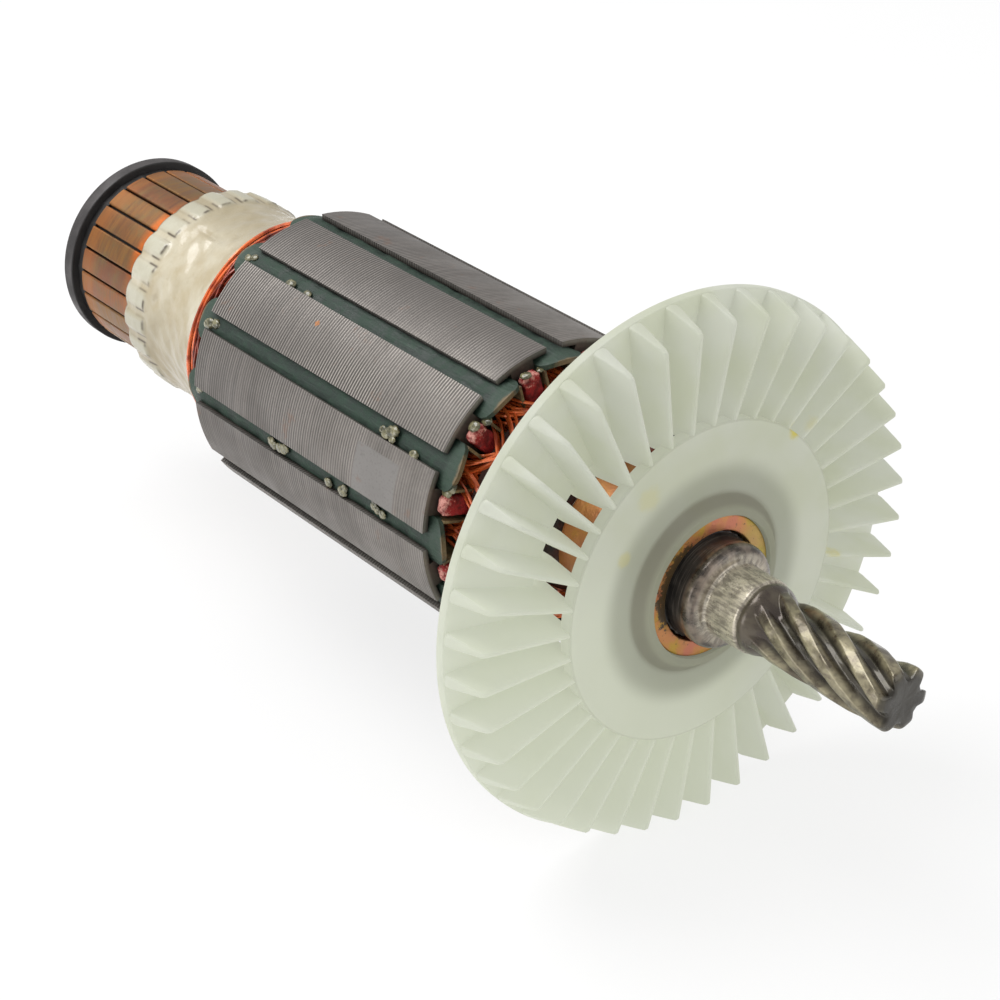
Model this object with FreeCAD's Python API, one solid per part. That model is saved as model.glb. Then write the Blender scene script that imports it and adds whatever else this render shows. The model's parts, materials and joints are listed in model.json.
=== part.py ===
import FreeCAD, Part
import math
import os

# Armature of a hammer drill motor: a wound rotor with its commutator, cooling fan and helical pinion.
# Lengths are in millimetres and angles in degrees. The shaft lies on X with the pinion towards +X.
# The origin is on the axis at the shoulder that the front bearing is pushed against.
# An angle about the axis is counted from +Y towards +Z.

Vector = FreeCAD.Vector
AXIS_POINT = Vector(0, 0, 0)
AXIS = Vector(1, 0, 0)

# Clearances between pieces
FIT = 0.05
WEDGE_PLAY = 0.07

# How far a cutting solid runs past what it cuts
CUT_REACH = 1.0

# Lamination stack
SLOT_COUNT = 12
STACK_RADIUS = 17.5
STACK_LENGTH = 43.5
STACK_FRONT = -28.3
TOOTH_NECK = 3.0
SLOT_MOUTH = 2.14
LIP_THICKNESS = 0.65
SLOT_BOTTOM_RADIUS = 9.0

# Insulation in and beside the slots
LINER_THICKNESS = 0.3
LINER_OVERHANG = 1.5
WEDGE_THICKNESS = 0.7
WEDGE_OVERHANG = 2.3
WEDGE_CORNER = 1.3
WEDGE_FLATS = 3
PLATE_THICKNESS = 1.6
PLATE_ARM_WIDTH = 2.5
PLATE_ARM_INSET = 1.0
PLATE_ROOT_INSET = 0.3
SLEEVE_WALL = 1.0
SLEEVE_SIDES = 24

# Winding heads: how far they stand off the plates, and how wide they are
HEAD_SIDES = 24
FRONT_HEAD_DEPTH = 7.7
FRONT_HEAD_RADIUS = 14.9
FRONT_HEAD_SHOULDER_DEPTH = 4.8
FRONT_HEAD_SHOULDER_RADIUS = 12.8
FRONT_HEAD_NOSE_RADIUS = 8.6
REAR_HEAD_DEPTH = 4.9
REAR_HEAD_RADIUS = 14.6
LEAD_CAGE_RADIUS = 13.4
LEAD_CAGE_WALL = 0.8
SLOT_EXIT = 1.9

# Commutator
BAR_COUNT = 24
BAR_RADIUS = 11.6
BAR_DEPTH = 3.4
BAR_LENGTH = 16.5
BAR_GAP = 0.5
BAR_FRONT_GAP = 19.0
RIB_TOP_RADIUS = 10.9
REAR_COLLAR_RADIUS = 11.3
REAR_COLLAR_LENGTH = 1.3
FRONT_COLLAR_RADIUS = 10.4
FRONT_COLLAR_LENGTH = 1.1
HOOK_WIDTH = 1.8
HOOK_LENGTH = 4.1
HOOK_RISE = 1.45
HOOK_THICKNESS = 0.6
HOOK_LEAN = 0.3
HOOK_ROOT = 0.4

# Resin over the leads
CEMENT_REAR_OVERLAP = 4.9
CEMENT_RADIUS_AT_HOOKS = 12.75
CEMENT_WAIST_RADIUS = 12.4
CEMENT_WAIST_FORWARD = 2.6
SCALLOP_DEPTH = 0.9
SCALLOP_WIDTH = 1.4

# Ring behind the commutator
END_RING_RADIUS = 12.3
END_RING_LENGTH = 1.9
END_RING_SIDES = 28

# Fan
BLADE_COUNT = 40
BLADE_THICKNESS = 1.0
BLADE_ROOT_INSET = 0.75
BLADE_CORNER_RADIUS = 28.45
BLADE_LEAN = 9.7
BLADE_FRONT_RISE = 0.25
BLADE_HUB_ANGLE = 124.9
FAN_RADIUS = 29.8
FAN_RING_SIDES = 40
FAN_FACE = -4.3
FAN_DEPTH = 5.5
FAN_DISC_RADIUS = 17.65
FAN_DISC_THICKNESS = 1.5
FAN_RING_INNER_RADIUS = 19.2
FAN_RING_THICKNESS = 1.1
FAN_COLLAR_RADIUS = 9.3
FAN_COLLAR_FLARE = 0.5
FAN_COLLAR_HEIGHT = 1.3
FAN_HUB_LENGTH = 8.5

# Steel bush that carries the fan
BUSH_WALL = 1.4
BUSH_LENGTH = 14.6
BUSH_FRONT_FROM_FACE = 0.9

# Shaft
REAR_JOURNAL_RADIUS = 3.5
REAR_JOURNAL_LENGTH = 11.8
COMMUTATOR_SEAT_RADIUS = 4.5
STACK_SEAT_RADIUS = 5.0
KNURL_RADIUS = 6.0
KNURL_DEPTH = 0.22
KNURL_RIDGES = 30
KNURL_LENGTH = 12.4
KNURL_RECESS = 0.6
COLLAR_RADIUS = 5.6
COLLAR_ROUND_LENGTH = 1.6
COLLAR_NOSE_RADIUS = 4.7
FRONT_JOURNAL_RADIUS = 4.0
FRONT_JOURNAL_LENGTH = 4.4
PINION_TEETH = 6
PINION_TIP_RADIUS = 3.5
PINION_ROOT_RADIUS = 2.35
PINION_TIP_SHARE = 0.30
PINION_ROOT_SHARE = 0.72
PINION_LENGTH = 18.8
PINION_LEAD = 40.0
PINION_STEPS = 10
RUNOUT_LENGTH = 1.6
RUNOUT_RADIUS = 3.8
RUNOUT_SIDES = 12
END_CHAMFER = 0.4

# Places that follow from the sizes above
SLOT_PITCH = 360.0 / SLOT_COUNT
BAR_PITCH = 360.0 / BAR_COUNT
STACK_REAR = STACK_FRONT - STACK_LENGTH
LIP_UNDERSIDE = STACK_RADIUS - LIP_THICKNESS
WEDGE_TOP = LIP_UNDERSIDE - WEDGE_PLAY
WEDGE_UNDERSIDE = WEDGE_TOP - WEDGE_THICKNESS
LINER_TOP = WEDGE_UNDERSIDE - 2 * FIT
SLEEVE_RADIUS = STACK_SEAT_RADIUS + SLEEVE_WALL
SLEEVE_BORE = SLEEVE_RADIUS + FIT
PLATE_ARM_RADIUS = STACK_RADIUS - PLATE_ARM_INSET
PLATE_ROOT_RADIUS = SLOT_BOTTOM_RADIUS - PLATE_ROOT_INSET
PLATE_FRONT_FACE = STACK_FRONT + PLATE_THICKNESS
PLATE_REAR_FACE = STACK_REAR - PLATE_THICKNESS
FRONT_HEAD_START = PLATE_FRONT_FACE + FIT
FRONT_HEAD_END = FRONT_HEAD_START + FRONT_HEAD_DEPTH
REAR_HEAD_START = PLATE_REAR_FACE - FIT
REAR_HEAD_END = REAR_HEAD_START - REAR_HEAD_DEPTH
BAR_FRONT = STACK_REAR - BAR_FRONT_GAP
BAR_REAR = BAR_FRONT - BAR_LENGTH
BAR_INNER_RADIUS = BAR_RADIUS - BAR_DEPTH
CORE_REAR = BAR_REAR - REAR_COLLAR_LENGTH
CORE_FRONT = BAR_FRONT + FRONT_COLLAR_LENGTH
END_RING_FRONT = CORE_REAR - FIT
END_RING_REAR = END_RING_FRONT - END_RING_LENGTH
CEMENT_REAR = BAR_FRONT - CEMENT_REAR_OVERLAP
BUSH_BORE = KNURL_RADIUS + FIT
BUSH_RADIUS = BUSH_BORE + BUSH_WALL
BUSH_FRONT = FAN_FACE + BUSH_FRONT_FROM_FACE
BUSH_REAR = BUSH_FRONT - BUSH_LENGTH
KNURL_FRONT = BUSH_FRONT - KNURL_RECESS
KNURL_REAR = KNURL_FRONT - KNURL_LENGTH
FAN_BACK = FAN_FACE - FAN_DEPTH
BLADE_ROOT_RADIUS = FAN_DISC_RADIUS - BLADE_ROOT_INSET
HUB_FLAT_ANGLE = BLADE_HUB_ANGLE + 180.0 / BLADE_COUNT
FAN_RING_FRONT = FAN_BACK + FAN_RING_THICKNESS
PINION_END = FRONT_JOURNAL_LENGTH + PINION_LENGTH


def polar(x, radius, angle):
    """Point at a distance from the axis and an angle about it."""
    turn = math.radians(angle)
    return Vector(x, radius * math.cos(turn), radius * math.sin(turn))


def offset_angle(width, radius):
    """Angle that a width beside a radial line takes up at a radius."""
    return math.degrees(math.asin(width / radius))


def arc(x, radius, start, end):
    """Edge on a circle about the axis."""
    middle = polar(x, radius, (start + end) / 2.0)
    return Part.Arc(polar(x, radius, start), middle, polar(x, radius, end)).toShape()


def outline(points):
    """Straight edges round a closed loop of points."""
    return [Part.makeLine(points[i - 1], point) for i, point in enumerate(points)]


def prism(edges, length):
    """Solid along X from a closed loop of edges."""
    return Part.Face(Part.Wire(edges)).extrude(Vector(length, 0, 0))


def flat_face(points):
    """Plane face through a closed loop of points."""
    return Part.Face(Part.makePolygon(points + points[:1]))


def solid_of(faces):
    """Solid inside a closed set of faces, which then point outwards."""
    solid = Part.makeSolid(Part.makeShell(faces))
    if solid.Volume < 0:
        solid.reverse()
    return solid


def turned(profile):
    """Solid of revolution about the axis from a closed loop of (x, radius) points."""
    points = [Vector(x, 0, radius) for x, radius in profile]
    return flat_face(points).revolve(AXIS_POINT, AXIS, 360)


def many_sided(profile, sides, first=0.0):
    """Like a turned solid but with flat sides, whose middles lie at the radii of the profile.

    The middle of one side lies at the angle given as first.
    """
    pitch = 360.0 / sides
    to_corner = 1.0 / math.cos(math.pi / sides)
    faces = []
    for i in range(sides):
        start = first + (i - 0.5) * pitch
        for j, (x, radius) in enumerate(profile):
            x_before, radius_before = profile[j - 1]
            faces.append(flat_face([
                polar(x_before, radius_before * to_corner, start),
                polar(x_before, radius_before * to_corner, start + pitch),
                polar(x, radius * to_corner, start + pitch),
                polar(x, radius * to_corner, start),
            ]))
    return solid_of(faces).removeSplitter()


def tube(rear, front, inner, outer, sides, first=0.0):
    """Tube on the axis with flat sides."""
    return many_sided([(rear, inner), (rear, outer), (front, outer), (front, inner)], sides, first)


def polygon(x, radius, sides):
    """Corners of an even polygon about the axis whose sides touch a circle."""
    corner_radius = radius / math.cos(math.pi / sides)
    return [polar(x, corner_radius, (i - 0.5) * 360.0 / sides) for i in range(sides)]


def less_sleeve_bore(solid):
    """Solid without the room that the insulating sleeve takes up."""
    start = solid.BoundBox.XMin - CUT_REACH
    length = solid.BoundBox.XLength + 2 * CUT_REACH
    return solid.cut(prism(outline(polygon(start, SLEEVE_BORE, SLEEVE_SIDES)), length))


def about_axis(solid, angle):
    """Copy of a solid turned about the axis."""
    copy = solid.copy()
    copy.rotate(AXIS_POINT, AXIS, angle)
    return copy


def pattern(solid, count, first=0.0):
    """Copies of a solid evenly round the axis."""
    return [about_axis(solid, first + i * 360.0 / count) for i in range(count)]


def slot_half_angle(radius, inset=0.0):
    """Half the angle between the parallel-sided teeth beside a slot, less an inset on each side."""
    return SLOT_PITCH / 2.0 - offset_angle(TOOTH_NECK / 2.0 + inset, radius)


def lamination_stack():
    """Slotted steel core: broad tooth tips, parallel necks, slots closed to a narrow mouth."""
    x = STACK_REAR
    mouth_top = offset_angle(SLOT_MOUTH / 2.0, STACK_RADIUS)
    mouth_low = offset_angle(SLOT_MOUTH / 2.0, LIP_UNDERSIDE)
    wall_top = slot_half_angle(LIP_UNDERSIDE)
    wall_low = slot_half_angle(SLOT_BOTTOM_RADIUS)
    half_slot = [
        (STACK_RADIUS, mouth_top),
        (LIP_UNDERSIDE, mouth_low),
        (LIP_UNDERSIDE, wall_top),
        (SLOT_BOTTOM_RADIUS, wall_low),
    ]
    edges = []
    for k in range(SLOT_COUNT):
        centre = k * SLOT_PITCH
        points = [polar(x, radius, centre - angle) for radius, angle in half_slot]
        points += [polar(x, radius, centre + angle) for radius, angle in reversed(half_slot)]
        edges += [Part.makeLine(start, end) for start, end in zip(points, points[1:])]
        edges.append(arc(x, STACK_RADIUS, centre + mouth_top, centre + SLOT_PITCH - mouth_top))
    return less_sleeve_bore(prism(edges, STACK_LENGTH))


def slot_section(x, inset, bottom, top):
    """Corners of a slot's inside between two radii, inset from its walls."""
    low = slot_half_angle(bottom, inset)
    high = slot_half_angle(top, inset)
    return [polar(x, bottom, -low), polar(x, bottom, low), polar(x, top, high), polar(x, top, -high)]


def slot_liner():
    """Folded paper trough that keeps the wire off the steel."""
    start = STACK_REAR - LINER_OVERHANG
    length = STACK_LENGTH + 2 * LINER_OVERHANG
    bottom = SLOT_BOTTOM_RADIUS + FIT
    outer = slot_section(start, FIT, bottom, LINER_TOP)
    inner = slot_section(start, FIT + LINER_THICKNESS, bottom + LINER_THICKNESS, LINER_TOP)
    loop = [outer[3], outer[0], outer[1], outer[2], inner[2], inner[1], inner[0], inner[3]]
    return prism(outline(loop), length)


def slot_wedge():
    """Bowed fibre strip under the tooth tips, with its corners taken off where it stands out."""
    start = STACK_REAR - WEDGE_OVERHANG
    length = STACK_LENGTH + 2 * WEDGE_OVERHANG
    points = []
    for radius, side in ((WEDGE_TOP, 1), (WEDGE_UNDERSIDE, -1)):
        half = slot_half_angle(radius, FIT)
        shares = [2.0 * i / WEDGE_FLATS - 1.0 for i in range(WEDGE_FLATS + 1)]
        points += [polar(start, radius, side * share * half) for share in shares]
    strip = prism(outline(points), length)
    corners = [edge for edge in strip.Edges if edge.Length < WEDGE_THICKNESS * 1.1]
    return strip.makeChamfer(WEDGE_CORNER, corners)


def end_insulator(start):
    """Fibre star on an end of the core: a hub with one arm over each tooth neck."""
    points = []
    low = offset_angle(PLATE_ARM_WIDTH / 2.0, PLATE_ROOT_RADIUS)
    high = offset_angle(PLATE_ARM_WIDTH / 2.0, PLATE_ARM_RADIUS)
    for k in range(SLOT_COUNT):
        centre = (k + 0.5) * SLOT_PITCH
        points.append(polar(start, PLATE_ROOT_RADIUS, centre - low))
        points.append(polar(start, PLATE_ARM_RADIUS, centre - high))
        points.append(polar(start, PLATE_ARM_RADIUS, centre + high))
        points.append(polar(start, PLATE_ROOT_RADIUS, centre + low))
    return less_sleeve_bore(prism(outline(points), PLATE_THICKNESS))


def armature_winding():
    """The wound wire: a filled bundle in each slot, a head at each end and the cage of leads."""
    inset = 2 * FIT + LINER_THICKNESS
    start = REAR_HEAD_START - SLOT_EXIT
    length = FRONT_HEAD_START + SLOT_EXIT - start
    section = slot_section(start, inset, SLOT_BOTTOM_RADIUS + inset, LINER_TOP)
    bundle = prism(outline(section), length)
    front_head = many_sided([
        (FRONT_HEAD_START, SLEEVE_BORE),
        (FRONT_HEAD_START, FRONT_HEAD_RADIUS),
        (FRONT_HEAD_START + FRONT_HEAD_SHOULDER_DEPTH, FRONT_HEAD_SHOULDER_RADIUS),
        (FRONT_HEAD_END, FRONT_HEAD_NOSE_RADIUS),
        (FRONT_HEAD_END, SLEEVE_BORE),
    ], HEAD_SIDES)
    cage_rear = BAR_RADIUS - FIT
    rear_head = many_sided([
        (REAR_HEAD_START, SLEEVE_BORE),
        (REAR_HEAD_START, REAR_HEAD_RADIUS),
        (REAR_HEAD_END, REAR_HEAD_RADIUS),
        (REAR_HEAD_END, LEAD_CAGE_RADIUS),
        (CORE_FRONT, cage_rear),
        (CORE_FRONT, cage_rear - LEAD_CAGE_WALL),
        (REAR_HEAD_END, LEAD_CAGE_RADIUS - LEAD_CAGE_WALL),
        (REAR_HEAD_END, SLEEVE_BORE),
    ], HEAD_SIDES)
    return front_head.multiFuse([rear_head] + pattern(bundle, SLOT_COUNT)).removeSplitter()


def insulating_sleeve():
    """Tube that keeps the core and the winding off the shaft."""
    return tube(CORE_FRONT + FIT, FRONT_HEAD_END, STACK_SEAT_RADIUS + FIT, SLEEVE_RADIUS, SLEEVE_SIDES)


def hook():
    """Tang at a bar's front end, folded back towards the brush track."""
    top = BAR_RADIUS + HOOK_RISE
    root = BAR_RADIUS - HOOK_ROOT
    tip = BAR_FRONT - HOOK_LENGTH
    neck = BAR_FRONT - 2 * HOOK_THICKNESS
    profile = [
        (BAR_FRONT, root),
        (BAR_FRONT, top),
        (tip, top - HOOK_LEAN),
        (tip, top - HOOK_LEAN - HOOK_THICKNESS),
        (neck, top - HOOK_THICKNESS),
        (neck, root),
    ]
    points = [Vector(x, radius, -HOOK_WIDTH / 2.0) for x, radius in profile]
    return flat_face(points).extrude(Vector(0, 0, HOOK_WIDTH))


def bar_half_angle(radius):
    """Half the angle of a bar at a radius, with a gap of even width beside it."""
    return BAR_PITCH / 2.0 - offset_angle(BAR_GAP / 2.0, radius)


def commutator_bar():
    """Copper segment with its hook."""
    top = bar_half_angle(BAR_RADIUS)
    low = bar_half_angle(BAR_INNER_RADIUS)
    corners = [
        polar(BAR_REAR, BAR_RADIUS, top),
        polar(BAR_REAR, BAR_INNER_RADIUS, low),
        polar(BAR_REAR, BAR_INNER_RADIUS, -low),
        polar(BAR_REAR, BAR_RADIUS, -top),
    ]
    edges = [Part.makeLine(start, end) for start, end in zip(corners, corners[1:])]
    edges.append(arc(BAR_REAR, BAR_RADIUS, -top, top))
    return prism(edges, BAR_LENGTH).fuse(hook()).removeSplitter()


def commutator_core():
    """Moulded body that holds the bars: a hub with a collar at each end and a rib in each gap."""
    bore = COMMUTATOR_SEAT_RADIUS + FIT
    seat = BAR_INNER_RADIUS * math.cos(math.radians(bar_half_angle(BAR_INNER_RADIUS))) - FIT
    hub = many_sided([
        (CORE_REAR, bore),
        (CORE_REAR, REAR_COLLAR_RADIUS),
        (BAR_REAR - FIT, REAR_COLLAR_RADIUS),
        (BAR_REAR - FIT, seat),
        (BAR_FRONT + FIT, seat),
        (BAR_FRONT + FIT, FRONT_COLLAR_RADIUS),
        (CORE_FRONT, FRONT_COLLAR_RADIUS),
        (CORE_FRONT, bore),
    ], BAR_COUNT)
    half = BAR_GAP / 2.0 - FIT
    foot = (bore + seat) / 2.0
    corners = [(foot, -half), (RIB_TOP_RADIUS, -half), (RIB_TOP_RADIUS, half), (foot, half)]
    points = [Vector(BAR_REAR - FIT, radius, side) for radius, side in corners]
    rib = prism(outline(points), BAR_LENGTH + 2 * FIT)
    return hub.multiFuse(pattern(rib, BAR_COUNT, BAR_PITCH / 2.0)).removeSplitter()


def wall_cutter(start, end, width):
    """Block that goes through the resin's wall."""
    foot = Vector(start, BAR_RADIUS - CUT_REACH, -width / 2.0)
    depth = CEMENT_RADIUS_AT_HOOKS - BAR_RADIUS + 2 * CUT_REACH
    return Part.makeBox(end - start, depth, width, foot)


def lead_cement():
    """Resin sleeve over the leads, notched between the hooks, with the hooks standing in it."""
    inner = BAR_RADIUS + FIT
    front = REAR_HEAD_END - FIT
    sleeve = many_sided([
        (CEMENT_REAR, inner),
        (CEMENT_REAR, CEMENT_RADIUS_AT_HOOKS),
        (BAR_FRONT + CEMENT_WAIST_FORWARD, CEMENT_WAIST_RADIUS),
        (front, REAR_HEAD_RADIUS),
        (front, LEAD_CAGE_RADIUS + FIT),
        (CORE_FRONT, inner),
    ], BAR_COUNT)
    notch = wall_cutter(CEMENT_REAR - CUT_REACH, CEMENT_REAR + SCALLOP_DEPTH, SCALLOP_WIDTH)
    pocket = wall_cutter(BAR_FRONT - HOOK_LENGTH, BAR_FRONT, HOOK_WIDTH)
    return sleeve.cut(pattern(notch, BAR_COUNT, BAR_PITCH / 2.0) + pattern(pocket, BAR_COUNT))


def end_ring():
    """Plain ring behind the commutator, wider than the bars."""
    bore = COMMUTATOR_SEAT_RADIUS + FIT
    return tube(END_RING_REAR, END_RING_FRONT, bore, END_RING_RADIUS, END_RING_SIDES)


def along_blade(radius):
    """Distance from the root of a leaning blade, along the blade, to a radius."""
    lean = math.radians(BLADE_LEAN)
    across = BLADE_ROOT_RADIUS * math.sin(lean)
    return math.sqrt(radius * radius - across * across) - BLADE_ROOT_RADIUS * math.cos(lean)


def fan_blade():
    """Flat blade that leans back from the radial line and is cut away towards the rim."""
    in_ring = FAN_BACK + FAN_RING_THICKNESS / 2.0
    disc_back = FAN_FACE - FAN_DISC_THICKNESS
    rim = FAN_RADIUS - BLADE_THICKNESS / 2.0
    ring_edge = FAN_RING_INNER_RADIUS + BLADE_THICKNESS / 2.0
    profile = [
        (BLADE_ROOT_RADIUS, FAN_FACE),
        (BLADE_CORNER_RADIUS, FAN_FACE + BLADE_FRONT_RISE),
        (rim, FAN_RING_FRONT),
        (rim, in_ring),
        (ring_edge, in_ring),
        (BLADE_ROOT_RADIUS, disc_back),
    ]
    lean = math.radians(BLADE_LEAN)
    outwards = Vector(0, math.cos(lean), -math.sin(lean))
    across = Vector(0, math.sin(lean), math.cos(lean))
    root = Vector(0, BLADE_ROOT_RADIUS, 0) - across * (BLADE_THICKNESS / 2.0)
    points = [root + outwards * along_blade(radius) + AXIS * x for radius, x in profile]
    return flat_face(points).extrude(across * BLADE_THICKNESS)


def fan():
    """Moulded fan: hub and collar, front disc, back ring, and the blades that join the two."""
    bore = BUSH_RADIUS + FIT
    disc_back = FAN_FACE - FAN_DISC_THICKNESS
    hub_back = FAN_FACE - FAN_HUB_LENGTH
    collar_front = FAN_FACE + FAN_COLLAR_HEIGHT
    hub = many_sided([
        (hub_back, bore),
        (hub_back, FAN_COLLAR_RADIUS),
        (disc_back, FAN_COLLAR_RADIUS),
        (disc_back, FAN_DISC_RADIUS),
        (FAN_FACE, FAN_DISC_RADIUS),
        (FAN_FACE, FAN_COLLAR_RADIUS + FAN_COLLAR_FLARE),
        (collar_front, FAN_COLLAR_RADIUS),
        (collar_front, bore),
    ], BLADE_COUNT, HUB_FLAT_ANGLE)
    ring = many_sided([
        (FAN_BACK, FAN_RING_INNER_RADIUS),
        (FAN_BACK, FAN_RADIUS),
        (FAN_RING_FRONT, FAN_RADIUS),
        (FAN_RING_FRONT, FAN_RING_INNER_RADIUS),
    ], FAN_RING_SIDES)
    blades = pattern(fan_blade(), BLADE_COUNT, BLADE_HUB_ANGLE)
    return hub.multiFuse([ring] + blades).removeSplitter()


def fan_bush():
    """Plated steel tube pressed on the knurled land, under the fan."""
    return tube(BUSH_REAR, BUSH_FRONT, BUSH_BORE, BUSH_RADIUS, BLADE_COUNT, HUB_FLAT_ANGLE)


def pinion_section(x, turn):
    """Corners of the teeth at one place along the pinion: root, tip, tip and root of each tooth."""
    pitch = 360.0 / PINION_TEETH
    tip = PINION_TIP_SHARE / 2.0
    root = PINION_ROOT_SHARE / 2.0
    tooth = (
        (PINION_ROOT_RADIUS, -root),
        (PINION_TIP_RADIUS, -tip),
        (PINION_TIP_RADIUS, tip),
        (PINION_ROOT_RADIUS, root),
    )
    points = []
    for k in range(PINION_TEETH):
        points += [polar(x, radius, turn + (k + share) * pitch) for radius, share in tooth]
    return points


def pinion():
    """Right-hand helical teeth: one section turned a little at each step and joined by flat facets."""
    start = FRONT_JOURNAL_LENGTH
    sections = []
    for i in range(PINION_STEPS + 1):
        travel = PINION_LENGTH * i / PINION_STEPS
        sections.append(pinion_section(start + travel, 360.0 * travel / PINION_LEAD))
    faces = [flat_face(sections[0]), flat_face(sections[-1])]
    for near, far in zip(sections, sections[1:]):
        for j, corner in enumerate(near):
            faces.append(flat_face([near[j - 1], corner, far[j]]))
            faces.append(flat_face([near[j - 1], far[j], far[j - 1]]))
    return solid_of(faces)


def pinion_runout():
    """Ramp where the cutter left the tooth gaps, next to the journal."""
    ends = (
        polygon(FRONT_JOURNAL_LENGTH, RUNOUT_RADIUS, RUNOUT_SIDES),
        polygon(FRONT_JOURNAL_LENGTH + RUNOUT_LENGTH, PINION_ROOT_RADIUS, RUNOUT_SIDES),
    )
    return Part.makeLoft([Part.makePolygon(points + points[:1]) for points in ends], True, True)


def knurl():
    """Straight ridges on the land that grips the fan bush."""
    points = []
    for i in range(KNURL_RIDGES):
        angle = i * 360.0 / KNURL_RIDGES
        points.append(polar(KNURL_REAR, KNURL_RADIUS, angle))
        points.append(polar(KNURL_REAR, KNURL_RADIUS - KNURL_DEPTH, angle + 180.0 / KNURL_RIDGES))
    return prism(outline(points), KNURL_LENGTH)


def shaft():
    """Turned steel shaft with two bearing journals, a knurled land, a collar and the cut pinion."""
    rear_end = END_RING_REAR - REAR_JOURNAL_LENGTH
    blank = turned([
        (rear_end, 0),
        (rear_end, REAR_JOURNAL_RADIUS - END_CHAMFER),
        (rear_end + END_CHAMFER, REAR_JOURNAL_RADIUS),
        (END_RING_REAR, REAR_JOURNAL_RADIUS),
        (END_RING_REAR, COMMUTATOR_SEAT_RADIUS),
        (CORE_FRONT, COMMUTATOR_SEAT_RADIUS),
        (CORE_FRONT, STACK_SEAT_RADIUS),
        (FRONT_HEAD_END, STACK_SEAT_RADIUS),
        (FRONT_HEAD_END, COLLAR_RADIUS),
        (-COLLAR_ROUND_LENGTH, COLLAR_RADIUS),
        (0, COLLAR_NOSE_RADIUS),
        (0, FRONT_JOURNAL_RADIUS),
        (FRONT_JOURNAL_LENGTH, FRONT_JOURNAL_RADIUS),
        (FRONT_JOURNAL_LENGTH, 0),
    ])
    return blank.multiFuse([knurl(), pinion_runout(), pinion()]).removeSplitter()


def export(shape, name):
    """Write one piece, or a group of like pieces, under its name."""
    shape.exportStep("parts/" + name + ".step")


def main():
    os.makedirs("parts", exist_ok=True)
    export(shaft(), "shaft")
    export(insulating_sleeve(), "insulating_sleeve")
    export(lamination_stack(), "lamination_stack")
    export(Part.makeCompound(pattern(slot_liner(), SLOT_COUNT)), "slot_liners")
    for i, wedge in enumerate(pattern(slot_wedge(), SLOT_COUNT)):
        export(wedge, "slot_wedge_%02d" % (i + 1))
    export(end_insulator(STACK_FRONT), "front_end_insulator")
    export(end_insulator(PLATE_REAR_FACE), "rear_end_insulator")
    export(armature_winding(), "armature_winding")
    export(commutator_core(), "commutator_core")
    for i, bar in enumerate(pattern(commutator_bar(), BAR_COUNT)):
        export(bar, "commutator_bar_%02d" % (i + 1))
    export(lead_cement(), "lead_cement")
    export(end_ring(), "end_ring")
    export(fan_bush(), "fan_bush")
    export(fan(), "fan")


main()
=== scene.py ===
import json
import math

import bmesh
import bpy
import numpy as np
from mathutils import Matrix, Vector


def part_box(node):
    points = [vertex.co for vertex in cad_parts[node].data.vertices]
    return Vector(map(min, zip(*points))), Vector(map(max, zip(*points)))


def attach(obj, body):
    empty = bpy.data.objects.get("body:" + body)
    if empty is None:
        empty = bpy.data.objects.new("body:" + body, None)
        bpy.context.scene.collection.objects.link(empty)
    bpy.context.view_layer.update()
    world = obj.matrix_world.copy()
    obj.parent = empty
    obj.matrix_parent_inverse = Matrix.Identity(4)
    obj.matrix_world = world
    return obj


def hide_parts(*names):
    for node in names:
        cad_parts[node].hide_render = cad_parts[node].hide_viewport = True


# Motor armature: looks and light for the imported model.
# Shapes are worked out in millimetres and become metres when they are made pieces.
# The shaft lies on X, and an angle about it is counted in degrees from +Y towards +Z.

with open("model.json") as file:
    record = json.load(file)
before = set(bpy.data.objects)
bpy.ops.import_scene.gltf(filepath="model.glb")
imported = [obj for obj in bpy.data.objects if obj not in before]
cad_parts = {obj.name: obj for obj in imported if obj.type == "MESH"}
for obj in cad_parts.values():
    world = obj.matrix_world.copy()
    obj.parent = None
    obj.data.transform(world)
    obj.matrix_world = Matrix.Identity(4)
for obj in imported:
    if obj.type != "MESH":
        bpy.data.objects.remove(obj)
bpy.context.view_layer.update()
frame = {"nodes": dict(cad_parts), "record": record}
MM = 0.001
SHARP_ANGLE = 55.0

# Photograph
IMAGE_SIZE = 1000
FOCAL_LENGTH_PX = 2527.5
SENSOR_WIDTH = 36.0
VIEW_AZIMUTH = 51.5
VIEW_ELEVATION = 29.3
CORE_END_RIGHT = 5.646
CORE_END_DOWN = 0.886
CORE_END_AWAY = 270.79
LAMP_AIM = -45.0
FLOOR_LEVEL = -30.1
FLOOR_HALF = 600.0
SURROUNDING_LIGHT = 0.6

# Core and its slots
SLOT_COUNT = 12
SLOT_PITCH = 360.0 / SLOT_COUNT
STACK_RADIUS = 17.5
STACK_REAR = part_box("lamination_stack")[0].x / MM
STACK_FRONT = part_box("lamination_stack")[1].x / MM
STACK_MIDDLE = (STACK_FRONT + STACK_REAR) / 2.0
STACK_HALF = (STACK_FRONT - STACK_REAR) / 2.0
LAMINATION_COUNT = 104
LAMINATION_PITCH = (STACK_FRONT - STACK_REAR) / LAMINATION_COUNT
LIP_THICKNESS = 0.65
LIP_UNDERSIDE = STACK_RADIUS - LIP_THICKNESS
TOOTH_NECK = 3.0
# Angles of the tooth with a painted highlight and of the tooth with painted shade
HIGHLIGHT_TOOTH_ANGLE = 133.0
SHADED_TOOTH_ANGLE = 104.0
BALANCE_CUT_PLACE = -37.3
BALANCE_CUT_ANGLE = 167.5
SPECK_PLACE = -55.2
SPECK_ANGLE = 130.5

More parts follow.
